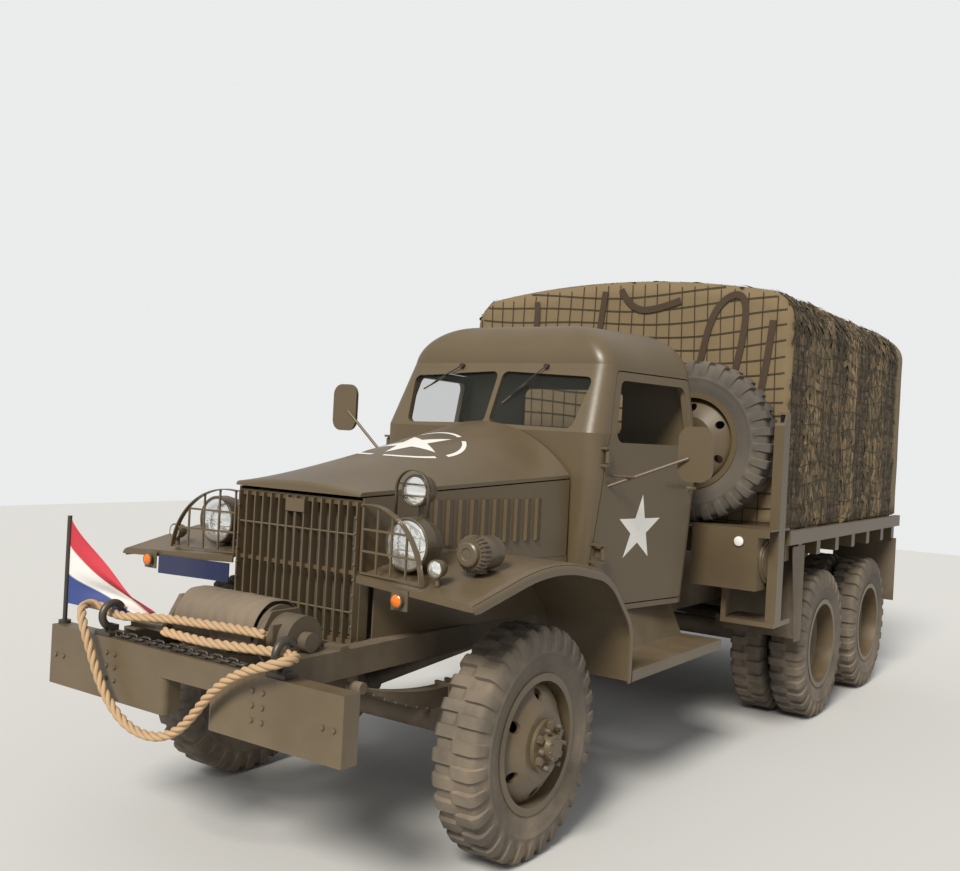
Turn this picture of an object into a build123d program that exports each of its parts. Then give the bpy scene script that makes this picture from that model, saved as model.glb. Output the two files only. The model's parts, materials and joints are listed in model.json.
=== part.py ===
from build123d import *
from math import cos, pi, radians, sin, tan
import os

os.makedirs("parts", exist_ok=True)

# Frame: X to the vehicle's left, Y to the rear, Z up, origin on the floor under the middle
# All lengths are millimetres

# Overall and axles
overall_length = 6000
front_overhang = 1049
wheelbase = 3683
bogie_spacing = 1118
front_axle_y = front_overhang - overall_length / 2
bumper_y = -overall_length / 2
tail_y = overall_length / 2
bogie_y = front_axle_y + wheelbase
rear_axle_ys = (bogie_y - bogie_spacing / 2, bogie_y + bogie_spacing / 2)

# Tyres and wheels
tyre_radius = 460
tyre_width = 213
tread_width = 180
rim_seat_radius = 254
rim_flange_radius = 276
rim_inner_width = 176
rim_wall = 8
disc_wall = 10
hand_hole_count = 6
hand_hole_radius = 23
hand_hole_circle = 192
front_wheel_x = 790
dual_inner_x = 737
dual_outer_x = 978
dual_middle_x = (dual_inner_x + dual_outer_x) / 2
wheel_dish = (dual_outer_x - dual_inner_x) / 2
axle_z = tyre_radius

# Clearances
running_gap = 0.05
seat_gap = 0.3
panel_gap = 6

# Frame rails
rail_half_width = 432
rail_top = 850
rail_height = 178
rail_flange = 70
rail_wall = 8

# Front bumper
bumper_half_width = 787
bumper_bottom = 583
bumper_top = 816
bumper_depth = 76
bumper_wall = 8

# Grille and hood
grille_y = front_axle_y - 512
grille_half_width = 335
grille_bottom = 817
grille_top = 1391
grille_bar_count = 15
grille_bar_wall = 7
grille_bar_depth = 34
hood_rear_y = front_axle_y + 776
hood_front_half_width = 345
hood_rear_half_width = 520
hood_front_seam = 1402
hood_rear_seam = 1478
hood_front_crown = 1440
hood_rear_crown = 1735
hood_edge = 16
hood_wall = 16
side_panel_wall = 12
side_panel_bottom = 1112
louvre_count = 11
louvre_pitch = 72
louvre_width = 46
louvre_rise = 14
louvre_height = 190

# Front fenders
fender_inner_x = 338
fender_outer_x = 957
fender_wall = 8
fender_lip = 46

# Cab: plan sections, one row for each height
cab_wall = 36
door_rear_y = front_axle_y + 1640
door_bottom = 862
door_top = 2008
belt_z = 1610
roof_z = 2040

# Bed, tarpaulin and net
bed_half_width = 1117
bed_front_y = front_axle_y + 2262
bed_rear_y = front_axle_y + 4873
bed_floor_top = 1190
bed_floor_wall = 40
bed_rail_bottom = 1132
bed_rail_top = 1212
side_board_top = 1760
side_board_wall = 26
tarp_half_width = 1078
tarp_bottom = 1222
tarp_crown = 2655
tarp_wall = 8
net_wall = 14
tailgate_wall = 34
tailgate_top = 1730


def keep(builder, name):
    builder.part.label = name
    export_step(builder.part, "parts/" + name + ".step")


def block(x, y, z, mode=Mode.ADD):
    # A box between two corners, each range given low then high
    with Locations(((x[0] + x[1]) / 2, (y[0] + y[1]) / 2, (z[0] + z[1]) / 2)):
        Box(x[1] - x[0], y[1] - y[0], z[1] - z[0], mode=mode)


def rod(start, end, radius, mode=Mode.ADD):
    # A round bar between two points
    line = Vector(*end) - Vector(*start)
    with BuildSketch(Plane(origin=start, z_dir=line)) as section:
        Circle(radius)
    extrude(section.sketch, amount=line.length, mode=mode)


def wheel_plane(centre, outboard):
    # Sketch plane through a wheel's axis: local x points outboard, local y points up
    out = Vector(*outboard)
    return Plane(origin=centre, x_dir=out, z_dir=out.cross(Vector(0, 0, 1)))


def spin(section, plane):
    revolve(section.sketch, axis=Axis(plane.origin, plane.x_dir))


def tyre(plane):
    # One tyre's ring, from the rim seat out to the tips of its lugs
    half_seat = rim_inner_width / 2 - seat_gap
    seat = rim_seat_radius + seat_gap
    bead_top = rim_flange_radius + 6
    half_tread = tread_width / 2
    with BuildSketch(plane) as section:
        with BuildLine():
            Line((-half_seat, seat), (half_seat, seat))
            Line((half_seat, seat), (half_seat, bead_top))
            ThreePointArc((half_seat, bead_top), (tyre_width / 2, 350), (half_tread, tyre_radius - 12))
            Line((half_tread, tyre_radius - 12), (half_tread - 14, tyre_radius))
            Line((half_tread - 14, tyre_radius), (14 - half_tread, tyre_radius))
            Line((14 - half_tread, tyre_radius), (-half_tread, tyre_radius - 12))
            ThreePointArc((-half_tread, tyre_radius - 12), (-tyre_width / 2, 350), (-half_seat, bead_top))
            Line((-half_seat, bead_top), (-half_seat, seat))
        make_face()
    spin(section, plane)


def rim_and_disc(plane):
    # One pressed wheel: the rim's band with its flanges and a cone dished to local +x
    half = rim_inner_width / 2
    flange = half + rim_wall
    inner = rim_seat_radius - rim_wall
    with BuildSketch(plane) as band:
        with BuildLine():
            Polyline(
                (-flange, rim_flange_radius), (-half, rim_flange_radius), (-half, rim_seat_radius),
                (half, rim_seat_radius), (half, rim_flange_radius), (flange, rim_flange_radius),
                (flange, inner), (-flange, inner), close=True)
        make_face()
    spin(band, plane)
    face = wheel_dish
    back = wheel_dish - disc_wall
    with BuildSketch(plane) as disc:
        with BuildLine():
            Polyline(
                (face, 90), (face, 138), (62, 222), (34, inner + 1), (8, inner + 1),
                (44, 214), (back, 132), (back, 90), close=True)
        make_face()
    spin(disc, plane)
    with BuildSketch(Plane(origin=plane.origin, z_dir=plane.x_dir)) as holes:
        with PolarLocations(hand_hole_circle, hand_hole_count):
            Circle(hand_hole_radius)
    extrude(holes.sketch, amount=wheel_dish, mode=Mode.SUBTRACT)


def turned(plane, points):
    # A solid of revolution from (along the axis, radius) pairs
    with BuildSketch(plane) as section:
        with BuildLine():
            Polyline(*points, close=True)
        make_face()
    spin(section, plane)


# Steering knuckles and front axle
kingpin_x = 640
ball_radius = 80
shell_gap = 3
shell_wall = 16
kingpin_radius = 16
kingpin_reach = 34
spindle_radius = 40
spindle_end = 60
drum_radius = 190
drum_wall = 14
backing_wall = 7
front_tube_radius = 52
neck_radius = 42
diff_x = -190


def front_wheel(side):
    centre = (side * front_wheel_x, front_axle_y, axle_z)
    plane = wheel_plane(centre, (side, 0, 0))
    drum_inner = drum_radius - drum_wall
    with BuildPart() as front_wheel_part:
        rim_and_disc(plane)
        turned(plane, [(-30, 0), (-30, 75), (8, 75), (8, drum_inner), (-70, drum_inner),
                       (-70, drum_radius), (20, drum_radius), (20, 75), (wheel_dish - disc_wall, 75),
                       (wheel_dish - disc_wall, 130), (wheel_dish, 130), (wheel_dish, 104),
                       (wheel_dish + 16, 104), (wheel_dish + 16, 56), (wheel_dish + 52, 50),
                       (wheel_dish + 58, 34), (wheel_dish + 58, 0)])
        with BuildSketch(Plane(origin=centre, z_dir=plane.x_dir).offset(wheel_dish)):
            with PolarLocations(84, hand_hole_count):
                RegularPolygon(17, 6)
        extrude(amount=34)
        with BuildSketch(Plane(origin=centre, z_dir=plane.x_dir).offset(-30)):
            Circle(spindle_radius + running_gap)
        extrude(amount=30 + spindle_end + 4, mode=Mode.SUBTRACT)
    return front_wheel_part


def knuckle():
    # The right-hand one; the left-hand one is its mirror image
    side = -1
    centre = (side * front_wheel_x, front_axle_y, axle_z)
    plane = wheel_plane(centre, (side, 0, 0))
    pin = (side * kingpin_x, front_axle_y, axle_z)
    outer = ball_radius + shell_gap + shell_wall
    throat = 36
    with BuildPart() as knuckle_part:
        with Locations(pin):
            Sphere(outer)
        turned(plane, [(-85, 0), (-85, 168), (-85 + backing_wall, 168), (-85 + backing_wall, spindle_radius),
                       (spindle_end, spindle_radius), (spindle_end, 0)])
        with Locations(pin):
            Sphere(ball_radius + shell_gap, mode=Mode.SUBTRACT)
        near = side * (kingpin_x - throat)
        far = side * (kingpin_x - outer - 1)
        block((min(near, far), max(near, far)), (front_axle_y - outer, front_axle_y + outer),
              (axle_z - outer, axle_z + outer), mode=Mode.SUBTRACT)
        for up in (-1, 1):
            rod((pin[0], pin[1], axle_z + up * (ball_radius + shell_gap + 4)),
                (pin[0], pin[1], axle_z + up * (ball_radius - kingpin_reach)), kingpin_radius)
            with Locations((pin[0], pin[1], axle_z + up * (outer + 2))):
                Cylinder(38, 14)
        # Steering arm, to the rear of the axle and below it
        arm_start = (pin[0] + side * 20, pin[1] + outer - 8, axle_z - 30)
        rod(arm_start, (pin[0] - side * 40, pin[1] + 190, axle_z - 60), 14)
    return knuckle_part


for side, word in ((1, "left"), (-1, "right")):
    with BuildPart() as tyre_front:
        tyre(wheel_plane((side * front_wheel_x, front_axle_y, axle_z), (side, 0, 0)))
    keep(tyre_front, "tyre_front_" + word)
    keep(front_wheel(side), "wheel_front_" + word)

right_knuckle = knuckle()
keep(right_knuckle, "knuckle_right")
with BuildPart() as left_knuckle:
    add(mirror(right_knuckle.part, about=Plane.YZ))
keep(left_knuckle, "knuckle_left")

# Rear wheels: two tyres and two discs back to back on each hub
rear_tube_radius = 62
rear_spindle_radius = 44


def rear_wheel(side, axle_y):
    middle = (side * dual_middle_x, axle_y, axle_z)
    plane = wheel_plane(middle, (side, 0, 0))
    inner_drum = drum_radius - drum_wall
    with BuildPart() as rear_wheel_part:
        rim_and_disc(wheel_plane((side * dual_inner_x, axle_y, axle_z), (side, 0, 0)))
        rim_and_disc(wheel_plane((side * dual_outer_x, axle_y, axle_z), (-side, 0, 0)))
        turned(plane, [(-190, 0), (-190, 78), (-112, 78), (-112, inner_drum), (-176, inner_drum),
                       (-176, drum_radius), (-100, drum_radius), (-100, 78), (-disc_wall, 78),
                       (-disc_wall, 130), (disc_wall, 130), (disc_wall, 100), (24, 100), (24, 72),
                       (84, 62), (92, 40), (92, 0)])
        with BuildSketch(Plane(origin=middle, z_dir=plane.x_dir).offset(disc_wall)):
            with PolarLocations(112, hand_hole_count):
                RegularPolygon(16, 6)
        extrude(amount=26)
        with BuildSketch(Plane(origin=middle, z_dir=plane.x_dir).offset(-190)):
            Circle(rear_spindle_radius + running_gap)
        extrude(amount=140, mode=Mode.SUBTRACT)
    return rear_wheel_part


for number, axle_y in enumerate(rear_axle_ys, start=1):
    for side, word in ((1, "left"), (-1, "right")):
        with BuildPart() as tyres_rear:
            tyre(wheel_plane((side * dual_inner_x, axle_y, axle_z), (side, 0, 0)))
            tyre(wheel_plane((side * dual_outer_x, axle_y, axle_z), (side, 0, 0)))
        keep(tyres_rear, f"tyres_rear_{word}_{number}")
        keep(rear_wheel(side, axle_y), f"wheels_rear_{word}_{number}")

# Axle housings
spring_x = 432
spring_width = 64
front_pad_z = 540
rear_pad_z = 560
pillow_x = (-140, -20)
pillow_bottom = 632

with BuildPart() as front_axle:
    rod((-kingpin_x + 130, front_axle_y, axle_z), (kingpin_x - 130, front_axle_y, axle_z), front_tube_radius)
    for side in (-1, 1):
        rod((side * (kingpin_x - 140), front_axle_y, axle_z), (side * kingpin_x, front_axle_y, axle_z),
            neck_radius)
        with Locations((side * kingpin_x, front_axle_y, axle_z)):
            Sphere(ball_radius)
        for up in (-1, 1):
            rod((side * kingpin_x, front_axle_y, axle_z + up * (ball_radius + 2)),
                (side * kingpin_x, front_axle_y, axle_z + up * (ball_radius - kingpin_reach - 2)),
                kingpin_radius + running_gap, mode=Mode.SUBTRACT)
        block((side * spring_x - 40, side * spring_x + 40), (front_axle_y - 60, front_axle_y + 60),
              (axle_z, front_pad_z))
    with Locations((diff_x, front_axle_y, axle_z)):
        Sphere(150)
    rod((diff_x, front_axle_y, axle_z), (diff_x, front_axle_y + 210, axle_z + 20), 70)
keep(front_axle, "front_axle")

with BuildPart() as rear_axles:
    for axle_y in rear_axle_ys:
        rod((-650, axle_y, axle_z), (650, axle_y, axle_z), rear_tube_radius)
        for side in (-1, 1):
            plane = wheel_plane((side * dual_middle_x, axle_y, axle_z), (side, 0, 0))
            turned(plane, [(-212, 0), (-212, 168), (-205, 168), (-205, rear_spindle_radius),
                           (-54, rear_spindle_radius), (-54, 0)])
            block((side * spring_x - 42, side * spring_x + 42), (axle_y - 66, axle_y + 66),
                  (axle_z, rear_pad_z))
        with Locations((diff_x, axle_y, axle_z)):
            Sphere(168)
        if axle_y < bogie_y:
            block((pillow_x[0] + 20, pillow_x[1] - 20), (axle_y - 30, axle_y + 30), (axle_z, pillow_bottom))
        rod((diff_x, axle_y, axle_z), (diff_x, axle_y - 235, axle_z + 30), 74)
keep(rear_axles, "rear_axles")


def leaf_pack(x, centre_y, seat_z, lengths, bow, up):
    # Nested arcs of one spring: up is 1 where the ends rise and -1 where they droop
    # The first leaf is the longest and the others lie on its outer side
    half = lengths[0] / 2
    radius = (half * half + bow * bow) / (2 * bow)
    centre_z = radius + len(lengths) * leaf_wall if up > 0 else -radius
    plane = Plane(origin=(x - spring_width / 2, centre_y, seat_z), x_dir=(0, 1, 0), z_dir=(1, 0, 0))
    for number, length in enumerate(lengths):
        near = radius + number * leaf_wall
        far = near + leaf_wall
        angle = length / 2 / radius
        near_ends = [(near * sin(turn), centre_z - up * near * cos(turn)) for turn in (-angle, angle)]
        far_ends = [(far * sin(turn), centre_z - up * far * cos(turn)) for turn in (-angle, angle)]
        with BuildSketch(plane) as leaf:
            with BuildLine():
                ThreePointArc(near_ends[0], (0, centre_z - up * near), near_ends[1])
                Line(near_ends[1], far_ends[1])
                ThreePointArc(far_ends[1], (0, centre_z - up * far), far_ends[0])
                Line(far_ends[0], near_ends[0])
            make_face()
        extrude(leaf.sketch, amount=spring_width)


front_spring_length = 1180
front_spring_bow = 90
front_leaf_count = 7
rear_spring_length = 1150
rear_spring_bow = 70
rear_leaf_count = 8
rear_spring_x = 505
leaf_wall = 11
leaf_step = 140
trunnion_z = 470
trunnion_radius = 42
rail_front_height = 104
rail_bottom = rail_top - rail_height
rail_front_bottom = rail_top - rail_front_height
rear_seat_z = rear_pad_z + rear_spring_bow + 1

with BuildPart() as springs:
    for side in (-1, 1):
        front_leaves = [front_spring_length - leaf_step * number for number in range(front_leaf_count)]
        leaf_pack(side * spring_x, front_axle_y, front_pad_z + seat_gap, front_leaves, front_spring_bow, 1)
        pack_top = front_pad_z + front_leaf_count * leaf_wall
        for shift in (-34, 34):
            block((side * spring_x - 40, side * spring_x + 40),
                  (front_axle_y + shift - 8, front_axle_y + shift + 8),
                  (front_pad_z + seat_gap, pack_top + 14))
        # Eyes at the ends, hung from the rail by short shackles
        for end in (-1, 1):
            eye_y = front_axle_y + end * (front_spring_length / 2 - 6)
            eye_z = pack_top + front_spring_bow - 4
            rod((side * spring_x - 36, eye_y, eye_z), (side * spring_x + 36, eye_y, eye_z), 22)
            block((side * spring_x - 34, side * spring_x - 8), (eye_y - 16, eye_y + 16),
                  (eye_z, rail_front_bottom - seat_gap))
        rear_leaves = [rear_spring_length - leaf_step * number for number in range(rear_leaf_count)]
        leaf_pack(side * rear_spring_x, bogie_y, rear_seat_z, rear_leaves, rear_spring_bow, -1)
        for shift in (-46, 46):
            block((side * rear_spring_x - 40, side * rear_spring_x + 40),
                  (bogie_y + shift - 9, bogie_y + shift + 9),
                  (rear_seat_z, rear_seat_z + rear_leaf_count * leaf_wall + 16))
        # Spring seat on the trunnion
        block((side * rear_spring_x - 44, side * rear_spring_x + 44), (bogie_y - 80, bogie_y + 80),
              (trunnion_z, rear_seat_z))
        rod((side * (rear_spring_x - 50), bogie_y, trunnion_z), (side * (rear_spring_x + 50), bogie_y, trunnion_z),
            66)
keep(springs, "springs")

# Frame: two channels, open towards each other, shallower at the front
rail_front_y = bumper_y + bumper_depth + seat_gap
rail_rear_y = front_axle_y + 4872
rail_taper = (front_axle_y + 630, front_axle_y + 900)


def rail_body(low, width, inset, mode):
    # One rail's side outline, drawn in by the inset and run past both ends where it cuts
    past = 1 if inset else 0
    with BuildSketch(Plane.YZ.offset(low)) as outline:
        with BuildLine():
            Polyline((rail_front_y - past, rail_top - inset), (rail_rear_y + past, rail_top - inset),
                     (rail_rear_y + past, rail_bottom + inset), (rail_taper[1], rail_bottom + inset),
                     (rail_taper[0], rail_front_bottom + inset),
                     (rail_front_y - past, rail_front_bottom + inset), close=True)
        make_face()
    extrude(outline.sketch, amount=width, mode=mode)


with BuildPart() as frame_rails:
    for side in (-1, 1):
        low = rail_half_width - rail_flange if side > 0 else -rail_half_width
        rail_body(low, rail_flange, 0, Mode.ADD)
        inner_low = low - 1 if side > 0 else low + rail_wall
        rail_body(inner_low, rail_flange - rail_wall + 1, rail_wall, Mode.SUBTRACT)
    # Trunnion brackets hang from the rails over the bogie
    for side in (-1, 1):
        near = side * (rail_half_width - rail_flange)
        far = side * rail_half_width
        block((min(near, far), max(near, far)), (bogie_y - 90, bogie_y + 90),
              (trunnion_z - 60, rail_bottom))
keep(frame_rails, "frame_rails")

# Cross members, each a channel between the webs, and the trunnion tube
cross_members_at = (-575, -395, 1300, 2240, 2900, 4400, 4842)
cross_member_depth = 60
cross_member_wall = 8
web_inner = rail_half_width - rail_wall - seat_gap

with BuildPart() as cross_members:
    for shift in cross_members_at:
        y = front_axle_y + shift
        top = rail_top - rail_wall - seat_gap
        bottom = top - cross_member_depth
        block((-web_inner, web_inner), (y - cross_member_depth / 2, y + cross_member_depth / 2), (bottom, top))
        block((-web_inner, web_inner), (y - cross_member_depth / 2 + cross_member_wall, y + cross_member_depth),
              (bottom + cross_member_wall, top - cross_member_wall), mode=Mode.SUBTRACT)
    reach = rail_half_width - rail_flange - seat_gap
    rod((-reach, bogie_y, trunnion_z), (reach, bogie_y, trunnion_z), trunnion_radius)
keep(cross_members, "cross_members")

# Front bumper: a pressed channel with a roller notch under the winch
notch_left = -84
notch_right = 150
notch_top = 720
notch_round = 24


def bumper_body(inset, front, back, mode):
    with BuildSketch(Plane.XZ.offset(-front)) as outline:
        with BuildLine():
            Polyline(
                (-bumper_half_width + inset, bumper_bottom + inset), (notch_left - inset, bumper_bottom + inset),
                (notch_left - inset, notch_top + inset), (notch_right + inset, notch_top + inset),
                (notch_right + inset, bumper_bottom + inset), (bumper_half_width - inset, bumper_bottom + inset),
                (bumper_half_width - inset, bumper_top - inset), (-bumper_half_width + inset, bumper_top - inset),
                close=True)
        make_face()
    extrude(outline.sketch, amount=front - back, mode=mode)


with BuildPart() as front_bumper:
    bumper_body(0, bumper_y, bumper_y + bumper_depth, Mode.ADD)
    notch_edges = [
        edge for edge in front_bumper.edges().filter_by(Axis.Z)
        if edge.center().Y < bumper_y + 1 and notch_left - 1 < edge.center().X < notch_right + 1
        and edge.center().Z < notch_top]
    fillet(notch_edges, notch_round)
    bumper_body(bumper_wall, bumper_y + bumper_wall, bumper_y + bumper_depth + 1, Mode.SUBTRACT)
keep(front_bumper, "front_bumper")

# Tow hooks on the bumper, pintle hook, bumperettes and tail lamps behind
hook_x = 470
hook_y = bumper_y + 50
hook_z = 892
hook_ring = 46
hook_bar = 15

with BuildPart() as towing_fittings:
    for side in (-1, 1):
        block((side * hook_x - 45, side * hook_x + 45), (hook_y - 44, hook_y + 26),
              (bumper_top + seat_gap, bumper_top + 16))
        block((side * hook_x - 16, side * hook_x + 16), (hook_y - 20, hook_y + 20),
              (bumper_top + 10, hook_z - hook_ring + 8))
        with BuildSketch(Plane(origin=(side * hook_x, hook_y, hook_z), x_dir=(1, 0, 0), z_dir=(0, -1, 0))):
            with Locations((0, -hook_ring)):
                Circle(hook_bar)
        revolve(axis=Axis((side * hook_x, hook_y, hook_z), (1, 0, 0)), revolution_arc=-235)
    # Pintle at the middle of the last cross member
    pintle_z = 760
    pintle_y = rail_rear_y + 8
    block((-90, 90), (pintle_y - 7.7, pintle_y + 8), (pintle_z - 80, pintle_z + 80))
    rod((0, pintle_y, pintle_z), (0, tail_y - 40, pintle_z), 30)
    rod((0, tail_y - 40, pintle_z - 44), (0, tail_y - 40, pintle_z + 62), 24)
    block((-24, 24), (tail_y - 44, tail_y), (pintle_z + 40, pintle_z + 62))
    # Bumperettes on the rail ends
    for side in (-1, 1):
        near = side * (rail_half_width - 60)
        far = side * (rail_half_width + 250)
        block((min(near, far), max(near, far)), (rail_rear_y + seat_gap, rail_rear_y + 14), (700, 830))
        for z in (708, 822):
            block((min(near, far), max(near, far)), (rail_rear_y + 8, rail_rear_y + 58), (z - 7, z + 7))
keep(towing_fittings, "towing_fittings")

# Winch on the frame horns behind the bumper
winch_y = front_axle_y - 790
winch_z = 892
winch_drum_radius = 82
winch_flange_radius = 112
winch_half_length = 232
winch_bed_top = rail_top + seat_gap + 14

with BuildPart() as winch:
    for shift in (-130, 130):
        block((-rail_half_width, rail_half_width), (winch_y + shift - 22, winch_y + shift + 22),
              (rail_top + seat_gap, winch_bed_top))
    rod((-winch_half_length, winch_y, winch_z), (winch_half_length, winch_y, winch_z), winch_drum_radius - 22)
    rod((-winch_half_length + 14, winch_y, winch_z), (winch_half_length - 14, winch_y, winch_z),
        winch_drum_radius)
    for side in (-1, 1):
        rod((side * (winch_half_length - 14), winch_y, winch_z), (side * winch_half_length, winch_y, winch_z),
            winch_flange_radius)
        near = side * winch_half_length
        far = side * (winch_half_length + 22)
        with BuildSketch(Plane.YZ.offset(min(near, far))):
            with BuildLine():
                Polyline((winch_y - 150, winch_bed_top - 2), (winch_y + 150, winch_bed_top - 2),
                         (winch_y + 70, winch_z + 96), (winch_y - 70, winch_z + 96), close=True)
            make_face()
        extrude(amount=22)
    # Worm housing with its ribs on the vehicle's left
    rod((winch_half_length + 20, winch_y, winch_z - 4), (winch_half_length + 122, winch_y, winch_z - 4), 92)
    rod((winch_half_length + 120, winch_y, winch_z - 4), (winch_half_length + 160, winch_y, winch_z - 4), 36)
    block((winch_half_length + 60, winch_half_length + 74), (winch_y - 112, winch_y + 112),
          (winch_bed_top - 2, winch_z + 60))
    block((winch_half_length + 20, winch_half_length + 120), (winch_y - 70, winch_y + 70),
          (winch_bed_top - 2, winch_z))
    rod((-winch_half_length - 20, winch_y, winch_z), (-winch_half_length - 110, winch_y, winch_z), 40)
keep(winch, "winch")

cover_radius = 128
cover_wall = 7
with BuildPart() as winch_cover:
    with BuildSketch(Plane.YZ.offset(1 - winch_half_length + 16)):
        with BuildLine():
            Line((winch_y - cover_radius, winch_bed_top + seat_gap), (winch_y - cover_radius, winch_z))
            ThreePointArc((winch_y - cover_radius, winch_z), (winch_y, winch_z + cover_radius),
                          (winch_y + cover_radius, winch_z))
            Line((winch_y + cover_radius, winch_z), (winch_y + cover_radius, winch_bed_top + seat_gap))
            Line((winch_y + cover_radius, winch_bed_top + seat_gap),
                 (winch_y + cover_radius - cover_wall, winch_bed_top + seat_gap))
            Line((winch_y + cover_radius - cover_wall, winch_bed_top + seat_gap),
                 (winch_y + cover_radius - cover_wall, winch_z))
            ThreePointArc((winch_y + cover_radius - cover_wall, winch_z),
                          (winch_y, winch_z + cover_radius - cover_wall),
                          (winch_y - cover_radius + cover_wall, winch_z))
            Line((winch_y - cover_radius + cover_wall, winch_z),
                 (winch_y - cover_radius + cover_wall, winch_bed_top + seat_gap))
            Line((winch_y - cover_radius + cover_wall, winch_bed_top + seat_gap),
                 (winch_y - cover_radius, winch_bed_top + seat_gap))
        make_face()
    extrude(amount=2 * (winch_half_length - 17))
keep(winch_cover, "winch_cover")

# Grille: flat bars behind a frame, with the mid bar and the shell that carries them
grille_frame = 22
grille_mid_z = 1105
shell_depth = 84

with BuildPart() as grille:
    block((-grille_half_width, grille_half_width), (grille_y + grille_bar_depth, grille_y + shell_depth),
          (grille_bottom, grille_top - 6))
    inner_half = grille_half_width - grille_frame
    block((-inner_half, inner_half), (grille_y, grille_y + shell_depth + 1),
          (grille_bottom + grille_frame, grille_top - grille_frame), mode=Mode.SUBTRACT)
    pitch = 2 * (grille_half_width - 8) / (grille_bar_count - 1)
    for number in range(grille_bar_count):
        x = 8 - grille_half_width + number * pitch
        block((x - grille_bar_wall / 2, x + grille_bar_wall / 2), (grille_y, grille_y + grille_bar_depth),
              (grille_bottom, grille_top - 10))
    for z, tall in ((grille_top - 16, 12), (grille_mid_z, 8), (grille_bottom + 14, 14)):
        block((-grille_half_width, grille_half_width),
              (grille_y + grille_bar_depth - 14, grille_y + grille_bar_depth + 6), (z - tall, z + tall))
keep(grille, "grille")

radiator_front = grille_y + shell_depth + seat_gap
radiator_back = radiator_front + 66
with BuildPart() as radiator:
    block((-306, 306), (radiator_front, radiator_back), (rail_top + seat_gap, grille_top - 36))
    block((-270, 270), (radiator_front - 0, radiator_back + 20), (grille_top - 86, grille_top - 30))
keep(radiator, "radiator")

# Hood: one curved lid, hinged at the cowl
hood_front_y = grille_y - 4


def hood_half_width(y):
    share = (y - hood_front_y) / (hood_rear_y - hood_front_y)
    return hood_front_half_width + share * (hood_rear_half_width - hood_front_half_width)


def hood_seam(y):
    share = (y - hood_front_y) / (hood_rear_y - hood_front_y)
    return hood_front_seam + share * (hood_rear_seam - hood_front_seam)


def hood_section(y, half, seam, crown, inset, drop):
    with BuildSketch(Plane.XZ.offset(-y)) as section:
        with BuildLine():
            w = half - inset
            top = crown - inset
            low = seam - drop
            shoulder = seam + hood_edge
            Line((-w, low), (w, low))
            Line((w, low), (w, shoulder))
            ThreePointArc((w, shoulder), (0, top), (-w, shoulder))
            Line((-w, shoulder), (-w, low))
        make_face()
    return section.sketch


with BuildPart() as hood:
    loft([hood_section(hood_front_y, hood_front_half_width, hood_front_seam, hood_front_crown, 0, 0),
          hood_section(hood_rear_y, hood_rear_half_width, hood_rear_seam, hood_rear_crown, 0, 0)],
         ruled=True)
    nose = hood.edges().filter_by(GeomType.CIRCLE).sort_by(Axis.Y)[0]
    fillet(nose, 16)
    loft([hood_section(hood_front_y + hood_wall, hood_front_half_width, hood_front_seam,
                       hood_front_crown, hood_wall, 1),
          hood_section(hood_rear_y - hood_wall, hood_rear_half_width, hood_rear_seam,
                       hood_rear_crown, hood_wall, 1)],
         ruled=True, mode=Mode.SUBTRACT)
keep(hood, "hood")

# Hood side panels with pressed louvres, and the lower engine side plates
panel_front_y = grille_y + 20
panel_rear_y = hood_rear_y + 6
with BuildPart() as hood_sides:
    for side in (-1, 1):
        for y in (panel_front_y, panel_rear_y):
            outer = hood_half_width(y)
            with BuildSketch(Plane.XZ.offset(-y)):
                with BuildLine():
                    Polyline((side * outer, side_panel_bottom), (side * outer, hood_seam(y) - panel_gap),
                             (side * (outer - side_panel_wall), hood_seam(y) - panel_gap),
                             (side * (outer - side_panel_wall), side_panel_bottom), close=True)
                make_face()
        loft(ruled=True)
        slope = (hood_rear_half_width - hood_front_half_width) / (hood_rear_y - hood_front_y)
        for number in range(louvre_count):
            y = front_axle_y - 190 + number * louvre_pitch
            x = hood_half_width(y)
            with BuildSketch(Plane(origin=(side * x, y, 1196), x_dir=(side * slope, 1, 0), z_dir=(0, 0, 1))):
                with BuildLine():
                    out = -louvre_rise if side > 0 else louvre_rise
                    Line((0, -out * 0.3), (louvre_width, -out * 0.3))
                    Line((louvre_width, -out * 0.3), (louvre_width, out * 0.15))
                    Line((louvre_width, out * 0.15), (8, out))
                    Line((8, out), (0, -out * 0.3))
                make_face()
            extrude(amount=louvre_height)
keep(hood_sides, "hood_sides")
print("front end written")

# Front fenders: crowned sheets with a rolled outer lip
fender_bottom = 604
fender_corners = (
    # y from the front axle, height, radius of the bend there
    (-607, 1080, 0),
    (-50, 1206, 1200),
    (430, 1112, 400),
    (674, 862, 200),
)
fender_foot_y = front_axle_y + fender_corners[-1][0]
fender_front_y = front_axle_y + fender_corners[0][0]
fender_inner_front_y = front_axle_y - 515
fender_rise = (fender_corners[1][1] - fender_corners[0][1]) / (fender_corners[1][0] - fender_corners[0][0])
fender_sweep = (fender_front_y - fender_inner_front_y) / (fender_outer_x - fender_inner_x)
fender_front_lip = 26


def fender_edge_y(x):
    # The fender's slanted front edge at a distance from the middle
    return fender_inner_front_y + (abs(x) - fender_inner_x) * fender_sweep


def fender_deck(y):
    # Height of the fender's straight front slope, with a seat's gap above it
    return fender_corners[0][1] + (y - fender_front_y) * fender_rise + seat_gap


def fender_side(inset, reach, floor):
    # Closed side outline under the fender's top line, drawn in by the inset
    tops = [(front_axle_y + y, z) for y, z, bend in fender_corners]
    with BuildSketch(Plane.YZ.offset(reach)) as outline:
        with BuildLine():
            Polyline(*tops, (tops[-1][0], floor), (tops[0][0], floor), close=True)
        make_face()
        for y, z, bend in fender_corners:
            if bend:
                fillet(outline.vertices().sort_by_distance((front_axle_y + y, z, 0))[0], bend)
        if inset:
            offset(amount=-inset, mode=Mode.REPLACE)
    return outline.sketch


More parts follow.
